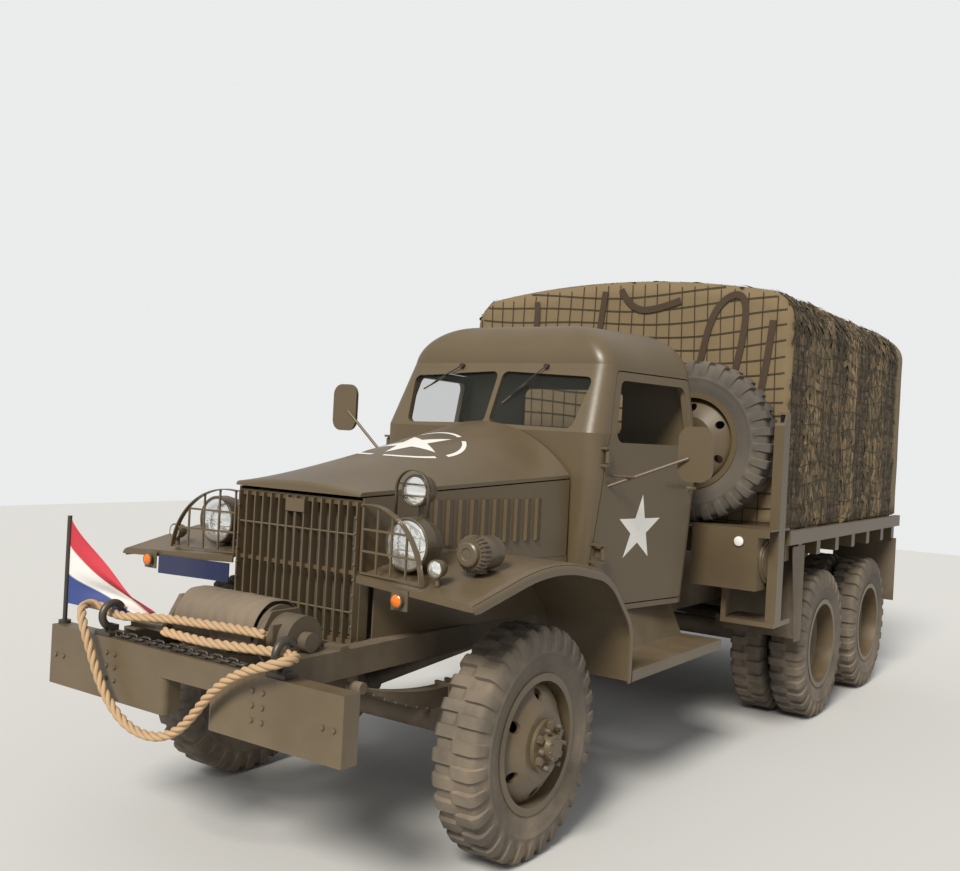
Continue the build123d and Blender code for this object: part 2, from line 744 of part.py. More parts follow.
with BuildPart() as front_fenders:
    for side in (-1, 1):
        with BuildPart(mode=Mode.PRIVATE) as shell:
            extrude(fender_side(0, fender_inner_x, fender_bottom), amount=fender_outer_x - fender_inner_x)
            outer_edges = shell.faces().sort_by(Axis.X)[-1].edges()
            fillet([edge for edge in outer_edges if edge.center().Z > fender_bottom + 1
                    and edge.center().Y > front_axle_y + fender_corners[0][0] + 1], 30)
            extrude(fender_side(fender_wall, fender_inner_x - 1, fender_bottom - 60),
                    amount=fender_outer_x - fender_wall - fender_inner_x + 1, mode=Mode.SUBTRACT)
            extrude(fender_side(fender_lip, fender_outer_x - 80, fender_bottom - 260), amount=90,
                    mode=Mode.SUBTRACT)
            # The front edge slants back towards the grille and carries a short lip
            with BuildSketch(Plane.XY.offset(fender_bottom - 80)) as ahead_plan:
                with BuildLine():
                    Polyline((fender_inner_x - 40, fender_front_y - 90), (fender_inner_x - 40, fender_inner_front_y),
                             (fender_inner_x, fender_inner_front_y), (fender_outer_x, fender_front_y),
                             (fender_outer_x + 40, fender_front_y - 90), close=True)
                make_face()
            extrude(ahead_plan.sketch, amount=900, mode=Mode.SUBTRACT)
            block((fender_inner_x - 20, fender_outer_x + 20), (fender_front_y - 40, fender_front_y + 16),
                  (fender_bottom - 80, fender_corners[0][1] - fender_front_lip), mode=Mode.SUBTRACT)
            ends = []
            for x, y in ((fender_inner_x, fender_inner_front_y), (fender_outer_x - 20, fender_front_y + 3)):
                top = fender_corners[0][1] + (y - fender_front_y) * fender_rise - 1
                with BuildSketch(Plane.YZ.offset(x)) as end:
                    with BuildLine():
                        Polyline((y, top), (y, top - fender_front_lip), (y + fender_wall, top - fender_front_lip),
                                 (y + fender_wall, top), close=True)
                    make_face()
                ends.append(end.sketch)
            loft(ends, ruled=True)
            # Room for the frame rail and spring, and the edge along the hood
            block((fender_inner_x - 20, rail_half_width + 40), (front_axle_y - 640, fender_foot_y + 20),
                  (fender_bottom - 80, rail_top + 3), mode=Mode.SUBTRACT)
            with BuildSketch(Plane.XY.offset(fender_bottom - 80)) as hood_plan:
                with BuildLine():
                    ahead = front_axle_y - 640
                    behind = fender_foot_y + 20
                    Polyline((fender_inner_x - 40, ahead), (hood_half_width(ahead) + seat_gap, ahead),
                             (hood_half_width(behind) + seat_gap, behind), (fender_inner_x - 40, behind),
                             close=True)
                make_face()
            extrude(hood_plan.sketch, amount=900, mode=Mode.SUBTRACT)
        if side > 0:
            add(shell.part)
        else:
            add(mirror(shell.part, about=Plane.YZ))
keep(front_fenders, "front_fenders")

# Aprons: upright sheets from the hood sides down to the frame, and one below the grille
apron_wall = 6
apron_front_y = grille_y + shell_depth + 10
apron_rear_y = front_axle_y + 792
with BuildPart() as aprons:
    for side in (-1, 1):
        ends = []
        for y in (apron_front_y, apron_rear_y):
            outer = hood_half_width(y) - 2
            with BuildSketch(Plane.XZ.offset(-y)) as end:
                with BuildLine():
                    Polyline((side * outer, side_panel_bottom - seat_gap), (side * outer, rail_top + seat_gap),
                             (side * (outer - apron_wall), rail_top + seat_gap),
                             (side * (outer - apron_wall), side_panel_bottom - seat_gap), close=True)
                make_face()
            ends.append(end.sketch)
        loft(ends, ruled=True)
    # Sheet below the grille, over the frame horns
    block((-352, 352), (grille_y - 6, grille_y + 26), (rail_top - 60, grille_bottom - seat_gap))
keep(aprons, "aprons")

# Running boards with the sloped skirt above them
board_inner_x = 722
board_outer_x = 950
board_front_y = fender_foot_y + seat_gap
board_rear_y = front_axle_y + 1722
board_top = 652
board_lip = 50
board_wall = 6
skirt_top = 829.7

with BuildPart() as running_boards:
    for side in (-1, 1):
        with BuildSketch(Plane.XZ.offset(-board_front_y)):
            with BuildLine():
                Polyline((side * board_outer_x, board_top - board_lip), (side * board_outer_x, board_top),
                         (side * board_inner_x, board_top), (side * 640, skirt_top),
                         (side * (640 - board_wall), skirt_top),
                         (side * (board_inner_x - board_wall), board_top - board_wall),
                         (side * (board_outer_x - board_wall), board_top - board_wall),
                         (side * (board_outer_x - board_wall), board_top - board_lip), close=True)
            make_face()
        extrude(amount=board_front_y - board_rear_y)
        # Brackets from the frame rail
        for y in (board_front_y + 300, board_rear_y - 200):
            near = side * (rail_half_width + seat_gap)
            far = side * (board_outer_x - 20)
            block((min(near, far), max(near, far)), (y - 20, y + 20),
                  (board_top - board_wall - 40, board_top - board_wall))
            block((min(near, side * 450), max(near, side * 450)), (y - 20, y + 20),
                  (board_top - board_wall - 40, rail_bottom + 60))
keep(running_boards, "running_boards")

# Engine with its gearbox, transfer case and shafts
gearbox_z = 740
gearbox_rear_y = front_axle_y + 1180
flange_gap = 8
with BuildPart() as engine:
    block((-150, 150), (front_axle_y - 330, front_axle_y + 540), (700, 1290))
    fillet(engine.edges().filter_by(Axis.Y), 40)
    rod((0, front_axle_y + 538, 780), (0, front_axle_y + 640, 780), 150)
    rod((0, front_axle_y + 638, gearbox_z), (0, gearbox_rear_y, gearbox_z), 90)
    # Mounts out to the rails
    block((-web_inner, web_inner), (front_axle_y + 200, front_axle_y + 260), (760, 800))
    # Pulley and fan behind the radiator
    rod((0, front_axle_y - 340, 1080), (0, front_axle_y - 328, 1080), 40)
keep(engine, "engine")

transfer_y = front_axle_y + 1960
with BuildPart() as driveline:
    block((-260, 120), (transfer_y - 130, transfer_y + 130), (540, 800))
    fillet(driveline.edges().filter_by(Axis.X), 50)
    for start, end in (
            ((0, gearbox_rear_y + flange_gap, gearbox_z), (0, transfer_y - 128, 720)),
            ((diff_x, front_axle_y + 224, axle_z + 22), (diff_x, transfer_y - 128, 610)),
            ((diff_x, transfer_y + 128, 610), (diff_x, rear_axle_ys[0] - 255, axle_z + 32)),
            ((-80, transfer_y + 128, 680), (-80, rear_axle_ys[0] + 59, 690)),
            ((-80, rear_axle_ys[0] + 59, 690), (diff_x, rear_axle_ys[1] - 255, axle_z + 32))):
        rod(start, end, 36)
        line = (Vector(*end) - Vector(*start)).normalized()
        rod(start, tuple(Vector(*start) + line * 26), 58)
        rod(tuple(Vector(*end) - line * 26), end, 58)
    # Pillow block over the forward axle, and the transfer case's beam between the rails
    block(pillow_x, (rear_axle_ys[0] - 40, rear_axle_ys[0] + 60), (pillow_bottom + seat_gap, 690))
    block((-web_inner, web_inner), (transfer_y - 30, transfer_y + 30), (740, 790))
keep(driveline, "driveline")

muffler_x = -525
muffler_z = 725
pipe_radius = 24
with BuildPart() as exhaust:
    rod((muffler_x, front_axle_y + 1180, muffler_z), (muffler_x, front_axle_y + 1740, muffler_z), 68)
    rod((muffler_x, front_axle_y + 1736, muffler_z), (muffler_x - 30, front_axle_y + 1880, muffler_z - 70), 24)
    # The front pipe passes under the rail to the engine's right side
    bends = [(muffler_x, 1184, muffler_z), (muffler_x, 900, muffler_z), (-470, 840, 600), (-250, 740, 600),
             (-180, 520, 760)]
    for start, end in zip(bends, bends[1:]):
        rod((start[0], front_axle_y + start[1], start[2]), (end[0], front_axle_y + end[1], end[2]), pipe_radius)
        with Locations((end[0], front_axle_y + end[1], end[2])):
            if end is not bends[-1]:
                Sphere(pipe_radius)
    for y in (front_axle_y + 1315, front_axle_y + 1635):
        block((muffler_x, -rail_half_width - seat_gap), (y - 15, y + 15), (muffler_z - 8, muffler_z + 8))
keep(exhaust, "exhaust")

tank_front_y = front_axle_y + 1930
tank_rear_y = front_axle_y + 2500
with BuildPart() as fuel_tank:
    with BuildSketch(Plane.XZ.offset(-tank_front_y)):
        with BuildLine():
            Polyline((-640, 600), (-1040, 600), (-1040, 960), (-640, 960), close=True)
        make_face()
        fillet(vertices(), 70)
    extrude(amount=tank_front_y - tank_rear_y)
    for y in (tank_front_y + 90, tank_rear_y - 90):
        block((-1046, -634), (y - 20, y + 20), (958, 966))
        block((-1046, -1036), (y - 20, y + 20), (660, 966))
        block((-660, -rail_half_width - seat_gap), (y - 20, y + 20), (740, 800))
    rod((-940, tank_front_y + 60, 955), (-940, tank_front_y + 60, 1010), 44)
keep(fuel_tank, "fuel_tank")

# Cab: a shell lofted through plan sections
cab_sections = (
    # height, front y from the axle, half-width at the front, half-width at the rear, rear y from the axle
    (840, 812, 588, 755, 1696),
    (1478, 795, 645, 800, 1700),
    (1700, 792, 645, 793, 1700),
    (2040, 948, 608, 733, 1696),
)
roof_sections = (
    (2040, 948, 608, 733, 1696),
    (2130, 968, 566, 692, 1690),
    (2200, 1016, 486, 616, 1668),
    (2246, 1110, 340, 470, 1600),
)
cab_front_round = 92
cab_rear_round = 70


def plan(row, inset, drop=0):
    # One plan outline of the cab with rounded corners, drawn in by the inset
    z, front, half_front, half_rear, rear = row
    with BuildSketch(Plane.XY.offset(z - drop)) as outline:
        with BuildLine():
            Polyline((-half_front + inset, front_axle_y + front + inset),
                     (half_front - inset, front_axle_y + front + inset),
                     (half_rear - inset, front_axle_y + rear - inset),
                     (-half_rear + inset, front_axle_y + rear - inset), close=True)
        make_face()
        fillet(outline.vertices().sort_by(Axis.Y)[:2], cab_front_round - inset / 2)
        fillet(outline.vertices().sort_by(Axis.Y)[-2:], cab_rear_round - inset / 2)
    return outline.sketch


def cab_shell(outer_inset, inner_inset):
    with BuildPart(mode=Mode.PRIVATE) as shell:
        for inset, mode in ((outer_inset, Mode.ADD), (inner_inset, Mode.SUBTRACT)):
            loft([plan(row, inset) for row in cab_sections], ruled=True, mode=mode)
    return shell.part


def side_prism(points, radius, x, width, grow=0):
    # A rounded outline in the side view, run along x
    with BuildSketch(Plane.YZ.offset(x)) as outline:
        with BuildLine():
            Polyline(*points, close=True)
        make_face()
        fillet(outline.vertices(), radius)
        if grow:
            offset(amount=grow, mode=Mode.REPLACE)
    return extrude(outline.sketch, amount=width, mode=Mode.PRIVATE)


def front_prism(points, radius, y, depth, grow=0):
    # A rounded outline in the front view, run along y
    with BuildSketch(Plane.XZ.offset(-y)) as outline:
        with BuildLine():
            Polyline(*points, close=True)
        make_face()
        fillet(outline.vertices(), radius)
        if grow:
            offset(amount=grow, mode=Mode.REPLACE)
    return extrude(outline.sketch, amount=-depth, mode=Mode.PRIVATE)


door_points = [(front_axle_y + 850, door_bottom), (front_axle_y + 866, 1480), (front_axle_y + 876, belt_z),
               (front_axle_y + 1018, door_top), (door_rear_y, door_top), (door_rear_y, door_bottom)]
door_window = [(front_axle_y + 936, 1660), (front_axle_y + 1042, 1966), (front_axle_y + 1590, 1966),
               (front_axle_y + 1590, 1660)]
roof_split = door_top + panel_gap
shell_base = door_bottom - panel_gap
windscreen_panes = (
    [(14, 1726), (500, 1716), (548, 1972), (14, 1998)],
    [(-14, 1726), (-500, 1716), (-548, 1972), (-14, 1998)],
)
rear_window = [(-330, 1700), (330, 1700), (330, 1950), (-330, 1950)]
whole_shell = cab_shell(0, cab_wall)
door_hole = [side_prism(door_points, 34, x, 700, grow=panel_gap) for x in (-1000, 300)]

# Door hinges: pins on the cowl's lugs, barrels on the doors
hinge_x = 674
hinge_axis_y = front_axle_y + 862
# height of each hinge, half-width of the cab's skin there
hinge_heights = ((1130, 618), (1590, 651))
hinge_pin_radius = 6
hinge_barrel_radius = 12
hinge_barrel_length = 60
hinge_lug_gap = 5.2
hinge_lug_wall = 12

with BuildPart() as cab_cowl:
    add(whole_shell)
    block((-900, 900), (front_axle_y + 700, front_axle_y + 1240), (shell_base + seat_gap, roof_split - seat_gap),
          mode=Mode.INTERSECT)
    for hole in door_hole:
        add(hole, mode=Mode.SUBTRACT)
    for pane in windscreen_panes:
        add(front_prism(pane, 34, front_axle_y + 700, 500), mode=Mode.SUBTRACT)
    for side in (-1, 1):
        for z, skin in hinge_heights:
            reach = hinge_barrel_length / 2 + hinge_lug_gap + hinge_lug_wall
            near = side * (skin - 30)
            far = side * (hinge_x + 10)
            pin_side = side * (hinge_x - 10)
            for low in (z - reach, z + reach - hinge_lug_wall):
                block((min(near, far), max(near, far)), (hinge_axis_y - 24, hinge_axis_y - 12),
                      (low, low + hinge_lug_wall))
                block((min(pin_side, far), max(pin_side, far)), (hinge_axis_y - 24, hinge_axis_y + 10),
                      (low, low + hinge_lug_wall))
            rod((side * hinge_x, hinge_axis_y, z - reach + 1), (side * hinge_x, hinge_axis_y, z + reach - 1),
                hinge_pin_radius)
keep(cab_cowl, "cab_cowl")

glass_front = 16
glass_wall = 6
with BuildPart() as windscreen_glass:
    for pane in windscreen_panes:
        with BuildPart(mode=Mode.PRIVATE) as sheet:
            add(cab_shell(glass_front, glass_front + glass_wall))
            add(front_prism(pane, 34, front_axle_y + 700, 500, grow=-seat_gap), mode=Mode.INTERSECT)
        add(sheet.part)
keep(windscreen_glass, "windscreen_glass")

with BuildPart() as cab_back:
    add(whole_shell)
    block((-900, 900), (front_axle_y + 1240 + seat_gap, front_axle_y + 1800),
          (shell_base + seat_gap, roof_split - seat_gap), mode=Mode.INTERSECT)
    for hole in door_hole:
        add(hole, mode=Mode.SUBTRACT)
    add(front_prism(rear_window, 40, front_axle_y + 1600, 200), mode=Mode.SUBTRACT)
keep(cab_back, "cab_back")

toe_board_half = 480
with BuildPart() as cab_floor:
    loft([plan(cab_sections[0], 0, drop=10), plan(cab_sections[0], 0, drop=-16)], ruled=True)
    # Toe board up to the cowl's inner face
    with BuildSketch(Plane.YZ.offset(-toe_board_half)):
        with BuildLine():
            Polyline((front_axle_y + 812 + cab_wall + 2, 852), (front_axle_y + 1060, 852),
                     (front_axle_y + 812 + cab_wall + 2, 1080), close=True)
        make_face()
    extrude(amount=2 * toe_board_half)
    # Thinner where it lies on the frame
    block((-rail_half_width - 4, rail_half_width + 4), (front_axle_y + 700, front_axle_y + 1800),
          (rail_top - 40, rail_top + seat_gap), mode=Mode.SUBTRACT)
keep(cab_floor, "cab_floor")

with BuildPart() as cab_roof:
    add(whole_shell)
    block((-900, 900), (front_axle_y + 700, front_axle_y + 1800), (roof_split, roof_z + 10), mode=Mode.INTERSECT)
    loft([plan(row, 0) for row in roof_sections])
    with BuildPart(mode=Mode.PRIVATE) as hollow:
        loft([plan(row, cab_wall, drop=cab_wall * (row[0] - roof_z) / (roof_sections[-1][0] - roof_z))
              for row in roof_sections])
    add(hollow.part, mode=Mode.SUBTRACT)
keep(cab_roof, "cab_roof")
print("cab shell written")

# Doors with their window openings, handles, hinges and mirrors
mirror_heads = {
    # side: centre of the head
    1: (1028, front_axle_y + 1080, 1623),
    -1: (-1028, front_axle_y + 900, 1780),
}
mirror_width = 172
mirror_height = 262
mirror_wall = 18
mirror_arm_radius = 8

for side, word in ((1, "left"), (-1, "right")):
    low_x = 300 if side > 0 else -1000
    outward = 1 if side > 0 else -1
    with BuildPart() as door:
        add(whole_shell)
        add(side_prism(door_points, 34, low_x, 700), mode=Mode.INTERSECT)
        add(side_prism(door_window, 46, low_x, 700), mode=Mode.SUBTRACT)
        # Hinge barrels with straps to the skin
        for z, skin in hinge_heights:
            near = side * (skin - 12)
            far = side * (hinge_x + 10)
            rod((side * hinge_x, hinge_axis_y, z - hinge_barrel_length / 2),
                (side * hinge_x, hinge_axis_y, z + hinge_barrel_length / 2), hinge_barrel_radius)
            block((min(side * (hinge_x - 4), far), max(side * (hinge_x - 4), far)),
                  (hinge_axis_y + 4, hinge_axis_y + 24), (z - 22, z + 22))
            block((min(near, far), max(near, far)), (hinge_axis_y + 15, hinge_axis_y + 24), (z - 22, z + 22))
            rod((side * hinge_x, hinge_axis_y, z - hinge_barrel_length / 2 - 1),
                (side * hinge_x, hinge_axis_y, z + hinge_barrel_length / 2 + 1),
                hinge_pin_radius + running_gap, mode=Mode.SUBTRACT)
        # Turning handle near the rear edge
        handle_x = 790
        rod((side * (handle_x - 20), door_rear_y - 66, 1440), (side * (handle_x + 34), door_rear_y - 66, 1440), 9)
        rod((side * (handle_x + 30), door_rear_y - 66, 1440), (side * (handle_x + 30), door_rear_y - 176, 1434), 8)
        # Mirror arm and head
        head = mirror_heads[side]
        rod((side * 640, front_axle_y + 900, 1440), (head[0] - side * 30, head[1] - 20, head[2] - 20),
            mirror_arm_radius)
        rod((side * 650, front_axle_y + 930, 1500), (side * 800, front_axle_y + 930, 1500), 5)
        with BuildSketch(Plane(origin=(head[0], head[1] - mirror_wall, head[2]), x_dir=(1, 0, 0), z_dir=(0, 1, 0))):
            RectangleRounded(mirror_width, mirror_height, 60)
        extrude(amount=mirror_wall)
    keep(door, "door_" + word)

# Cab fittings: dash, steering column and wheel, levers
steering_x = 330
steering_centre = (steering_x, front_axle_y + 1120, 1480)
column_foot = (steering_x, front_axle_y + 861, 1079)
steering_radius = 215

with BuildPart() as cab_fittings:
    column = Vector(*steering_centre) - Vector(*column_foot)
    rod(column_foot, steering_centre, 22)
    rod(steering_centre, tuple(Vector(*steering_centre) + column.normalized() * 22), 34)
    wheel_face = Plane(origin=steering_centre, x_dir=(1, 0, 0), z_dir=column)
    with BuildSketch(Plane(origin=steering_centre, x_dir=(1, 0, 0), z_dir=wheel_face.y_dir)) as rim_section:
        with Locations((steering_radius, 0)):
            Circle(13)
    revolve(rim_section.sketch, axis=Axis(steering_centre, column))
    for number in range(3):
        angle = radians(90 + 120 * number)
        tip = wheel_face.from_local_coords((cos(angle) * steering_radius, sin(angle) * steering_radius, 0))
        rod(steering_centre, (tip.X, tip.Y, tip.Z), 7)
    # Dash panel across the cowl
    block((-530, 530), (front_axle_y + 832, front_axle_y + 900), (1500, 1660))
    # Gear lever and hand brake
    rod((0, front_axle_y + 1150, 857.7), (20, front_axle_y + 1080, 1330), 9)
    with Locations((20, front_axle_y + 1078, 1336)):
        Sphere(24)
    rod((100, front_axle_y + 1125, 858.4), (110, front_axle_y + 1050, 1180), 8)
keep(cab_fittings, "cab_fittings")

seat_box_top = 1130
with BuildPart() as seats:
    for low, high in ((70, 590), (-590, 50)):
        block((low, high), (front_axle_y + 1180, front_axle_y + 1570), (860 + seat_gap - 4, seat_box_top))
        block((low, high), (front_axle_y + 1150, front_axle_y + 1590), (seat_box_top + seat_gap, 1262))
        with BuildSketch(Plane.YZ.offset(low)):
            with BuildLine():
                Polyline((front_axle_y + 1500, 1270), (front_axle_y + 1596, 1270), (front_axle_y + 1648, 1650),
                         (front_axle_y + 1570, 1650), close=True)
            make_face()
        extrude(amount=high - low)
keep(seats, "seats")

# Spare wheel carrier behind the cab on the left
spare_centre = (590, front_axle_y + 2116, 1692)
spare_plane = wheel_plane(spare_centre, (0, -1, 0))
platform_top = spare_centre[2] - tyre_radius - 1
platform_wall = 9
box_x = (668, 1046)
box_y = (front_axle_y + 1930, front_axle_y + 2236)
box_bottom = 896
post_x = (1058, 1114)

with BuildPart() as spare_tyre:
    tyre(spare_plane)
keep(spare_tyre, "spare_tyre")

with BuildPart() as spare_wheel:
    rim_and_disc(spare_plane)
keep(spare_wheel, "spare_wheel")

with BuildPart() as spare_carrier:
    block((rail_half_width - 60, post_x[1]), (front_axle_y + 1940, front_axle_y + 2244),
          (platform_top - platform_wall, platform_top))
    block((box_x[0], box_x[1] + 60), (front_axle_y + 1932, front_axle_y + 1942), (platform_top - 44, platform_top))
    # Stowage box under the platform with a flanged round door on its side
    block(box_x, box_y, (box_bottom, platform_top - platform_wall))
    for y in (front_axle_y + 2083,):
        rod((box_x[1] - 1, y, 1050), (box_x[1] + 9, y, 1050), 118)
        rod((box_x[1] + 8, y, 1050), (box_x[1] + 14, y, 1050), 96)
    # Guard post: a channel bowed at its head, beside the tyre
    with BuildSketch(Plane.YZ.offset(post_x[0])):
        with BuildLine():
            Polyline((front_axle_y + 2070, 700), (front_axle_y + 2070, 1800), (front_axle_y + 2110, 1872),
                     (front_axle_y + 2168, 1872), (front_axle_y + 2168, 700), close=True)
        make_face()
        fillet(vertices().sort_by(Axis.Y)[-3:], 20)
    extrude(amount=post_x[1] - post_x[0])
    block((post_x[0] - 1, post_x[1] - 8), (front_axle_y + 2078, front_axle_y + 2160), (690, 1860),
          mode=Mode.SUBTRACT)
    # Step tray below the box
    block((811, post_x[1]), (front_axle_y + 2050, front_axle_y + 2325), (690, 717))
    block((811, 840), (front_axle_y + 2050, front_axle_y + 2090), (716, box_bottom + 1))
    # Uprights from the frame rail
    for y in (front_axle_y + 1980, front_axle_y + 2200):
        block((rail_half_width + seat_gap, rail_half_width + 24), (y - 30, y + 30), (720, platform_top - 4))
    # Clamp bar through the spare wheel's middle, held by a bracket from the platform
    rod((spare_centre[0], front_axle_y + 2180, spare_centre[2]), (spare_centre[0], front_axle_y + 2000, spare_centre[2]),
        26)
    block((spare_centre[0] - 40, spare_centre[0] + 40), (front_axle_y + 2223.6, front_axle_y + 2234),
          (platform_top - 4, spare_centre[2] + 60))
    block((spare_centre[0] - 40, spare_centre[0] + 40), (front_axle_y + 2170, front_axle_y + 2230),
          (spare_centre[2] - 40, spare_centre[2] + 40))
keep(spare_carrier, "spare_carrier")

# Cargo bed
sills_at = (2300, 2534, 2900, 3300, 3683, 4066, 4466, 4793)
sill_bottom = 1040
bed_inner = 1040
# The clear deck stands a step above the margin that carries the posts and boards
bed_deck_half = 990
bed_margin_top = bed_floor_top - 3
hinge_bar_y = bed_rear_y + 26
hinge_bar_z = 1200
tailgate_hinges = (-860, 0, 860)

with BuildPart() as bed_floor:
    block((-bed_half_width + 20, bed_half_width - 20), (bed_front_y, bed_rear_y),
          (bed_floor_top - bed_floor_wall, bed_margin_top))
    block((-bed_deck_half, bed_deck_half), (bed_front_y + 30, bed_rear_y),
          (bed_floor_top - bed_floor_wall, bed_floor_top))
    for side in (-1, 1):
        near = side * (bed_half_width - 34)
        far = side * bed_half_width
        block((min(near, far), max(near, far)), (bed_front_y, bed_rear_y), (bed_rail_bottom, bed_rail_top))
        block((side * 400 - 32, side * 400 + 32), (bed_front_y, bed_rear_y), (rail_top + seat_gap, sill_bottom + 4))
    for shift in sills_at:
        y = front_axle_y + shift
        block((-bed_half_width + 30, bed_half_width - 30), (y - 38, y + 38), (sill_bottom, bed_rail_bottom + 20))
    # Tailgate hinge pins on lugs behind the last sill
    for x in tailgate_hinges:
        for end in (-1, 1):
            block((x + end * 50 - 10, x + end * 50 + 10), (bed_rear_y - 2, hinge_bar_y + 14),
                  (hinge_bar_z - 14, hinge_bar_z + 12))
        block((x - 60, x + 60), (bed_rear_y - 2, bed_rear_y + 5), (hinge_bar_z - 60, hinge_bar_z - 10))
        rod((x - 52, hinge_bar_y, hinge_bar_z), (x + 52, hinge_bar_y, hinge_bar_z), 8)
keep(bed_floor, "bed_floor")

side_boards = ((1212, 1440), (1470, 1560), (1590, 1680), (1700, 1760))
side_board_outer = 1064
posts_at = (2300, 2730, 3200, 3683, 4166, 4640, 4830)

with BuildPart() as bed_sides:
    for side in (-1, 1):
        near = side * bed_inner
        far = side * side_board_outer
        for low, high in side_boards:
            block((min(near, far), max(near, far)), (bed_front_y, bed_rear_y - 10), (low + seat_gap, high))
        for shift in posts_at:
            y = front_axle_y + shift
            near_post = side * (bed_inner - 44)
            block((min(near_post, near + side), max(near_post, near + side)), (y - 30, y + 30),
                  (bed_margin_top + seat_gap, side_board_top))
    block((-bed_inner - 1, bed_inner + 1), (bed_front_y, bed_front_y + 26), (bed_rail_top + seat_gap, 1700))
    # Folded bench slats along both sides
    for side in (-1, 1):
        for z in (1560, 1640):
            near = side * (bed_inner - 70)
            far = side * (bed_inner - 43)
            block((min(near, far), max(near, far)), (front_axle_y + 2420, bed_rear_y - 60), (z - 28, z + 28))
keep(bed_sides, "bed_sides")

# Tarpaulin on its bows
tarp_front_y = front_axle_y + 2250
tarp_rear_y = front_axle_y + 4864
tarp_shoulder = 2545
tarp_round = 190
bow_clear = 0.3
bow_wall = 26
bow_depth = 46
bows_at = (2300, 2930, 3560, 4190, 4820)


def hoop(inset, bottom):
    # Front outline of the canvas and of what follows its inside
    half = tarp_half_width - inset
    with BuildSketch(Plane.XZ) as outline:
        with BuildLine():
            Line((-half, bottom), (half, bottom))
            Line((half, bottom), (half, tarp_shoulder - inset))
            ThreePointArc((half, tarp_shoulder - inset), (0, tarp_crown - inset), (-half, tarp_shoulder - inset))
            Line((-half, tarp_shoulder - inset), (-half, bottom))
        make_face()
        fillet([corner for corner in outline.vertices() if corner.Y > bottom + 100], tarp_round - inset)
    return outline.sketch


def hoop_body(inset, bottom, front, back):
    return extrude(hoop(inset, bottom).moved(Location((0, front, 0))), amount=front - back, mode=Mode.PRIVATE)


with BuildPart() as tarp:
    add(hoop_body(0, tarp_bottom, tarp_front_y, tarp_rear_y))
    add(hoop_body(tarp_wall, tarp_bottom - 20, tarp_front_y + tarp_wall, tarp_rear_y + 10), mode=Mode.SUBTRACT)
keep(tarp, "tarp")

with BuildPart() as bows:
    bow_outer = tarp_wall + bow_clear
    for shift in bows_at:
        y = front_axle_y + shift
        add(hoop_body(bow_outer, side_board_top + seat_gap, y - bow_depth / 2, y + bow_depth / 2))
        add(hoop_body(bow_outer + bow_wall, side_board_top - 20, y - bow_depth / 2 - 1, y + bow_depth / 2 + 1),
            mode=Mode.SUBTRACT)
keep(bows, "bows")

net_front_y = tarp_front_y - net_wall - seat_gap
net_rear_y = front_axle_y + 4700
net_bottom = 1262
with BuildPart() as camouflage_net:
    add(hoop_body(-net_wall, net_bottom, net_front_y, net_rear_y))
    add(hoop_body(-seat_gap, net_bottom - 20, tarp_front_y - seat_gap, net_rear_y + 10), mode=Mode.SUBTRACT)
keep(camouflage_net, "camouflage_net")

# Tailgate, hinged along its lower edge
tailgate_y = (hinge_bar_y - 17, hinge_bar_y + 17)
tailgate_half = 1030
with BuildPart() as tailgate:
    block((-tailgate_half, tailgate_half), tailgate_y, (hinge_bar_z + 22, tailgate_top))
    for x in (-700, -240, 240, 700):
        block((x - 30, x + 30), (tailgate_y[1] - 1, tailgate_y[1] + 18), (hinge_bar_z + 24, tailgate_top))
    for x in tailgate_hinges:
        rod((x - 36, hinge_bar_y, hinge_bar_z), (x + 36, hinge_bar_y, hinge_bar_z), 15)
        block((x - 36, x + 36), (hinge_bar_y - 8, hinge_bar_y + 8), (hinge_bar_z, hinge_bar_z + 24))
        rod((x - 37, hinge_bar_y, hinge_bar_z), (x + 37, hinge_bar_y, hinge_bar_z), 8 + running_gap,
            mode=Mode.SUBTRACT)
keep(tailgate, "tailgate")

# Splash boards ahead of the rear wheels and flaps behind them
board_sheet = 8
with BuildPart() as splash_guards:
    for side in (-1, 1):
        near = side * 650
        far = side * (bed_half_width - 2)
        block((min(near, far), max(near, far)), (front_axle_y + 2530, front_axle_y + 2530 + board_sheet),
              (566, sill_bottom - seat_gap))
        block((min(near, far), max(near, far)), (front_axle_y + 4790, front_axle_y + 4790 + board_sheet),
              (566, sill_bottom - seat_gap))
        # Outer strip that slants forward under the rail
        with BuildSketch(Plane.YZ.offset(far - side * board_sheet if side > 0 else far)):
            with BuildLine():
                Polyline((front_axle_y + 2535, 566), (front_axle_y + 2535, 1120), (front_axle_y + 2330, 1120),
                         (front_axle_y + 2440, 566), close=True)
            make_face()
        extrude(amount=board_sheet)
keep(splash_guards, "splash_guards")

# Lamps: headlamps, blackout lamp, markers, turn lamps, siren
lamp_x = 530
lamp_y = front_axle_y - 450
lamp_z = 1235
lamp_radius = 104
siren_x = 790
siren_z = 1224


def lamp_body(centre, radius, depth):
    # A lamp's bowl, its face towards the front
    turned(Plane(origin=centre, x_dir=(0, -1, 0), z_dir=(0, 0, 1)),
           [(0, 0), (0, radius), (-0.3 * depth, radius), (-0.62 * depth, 0.86 * radius),
            (-0.86 * depth, 0.58 * radius), (-depth, 0.25 * radius), (-depth, 0)])


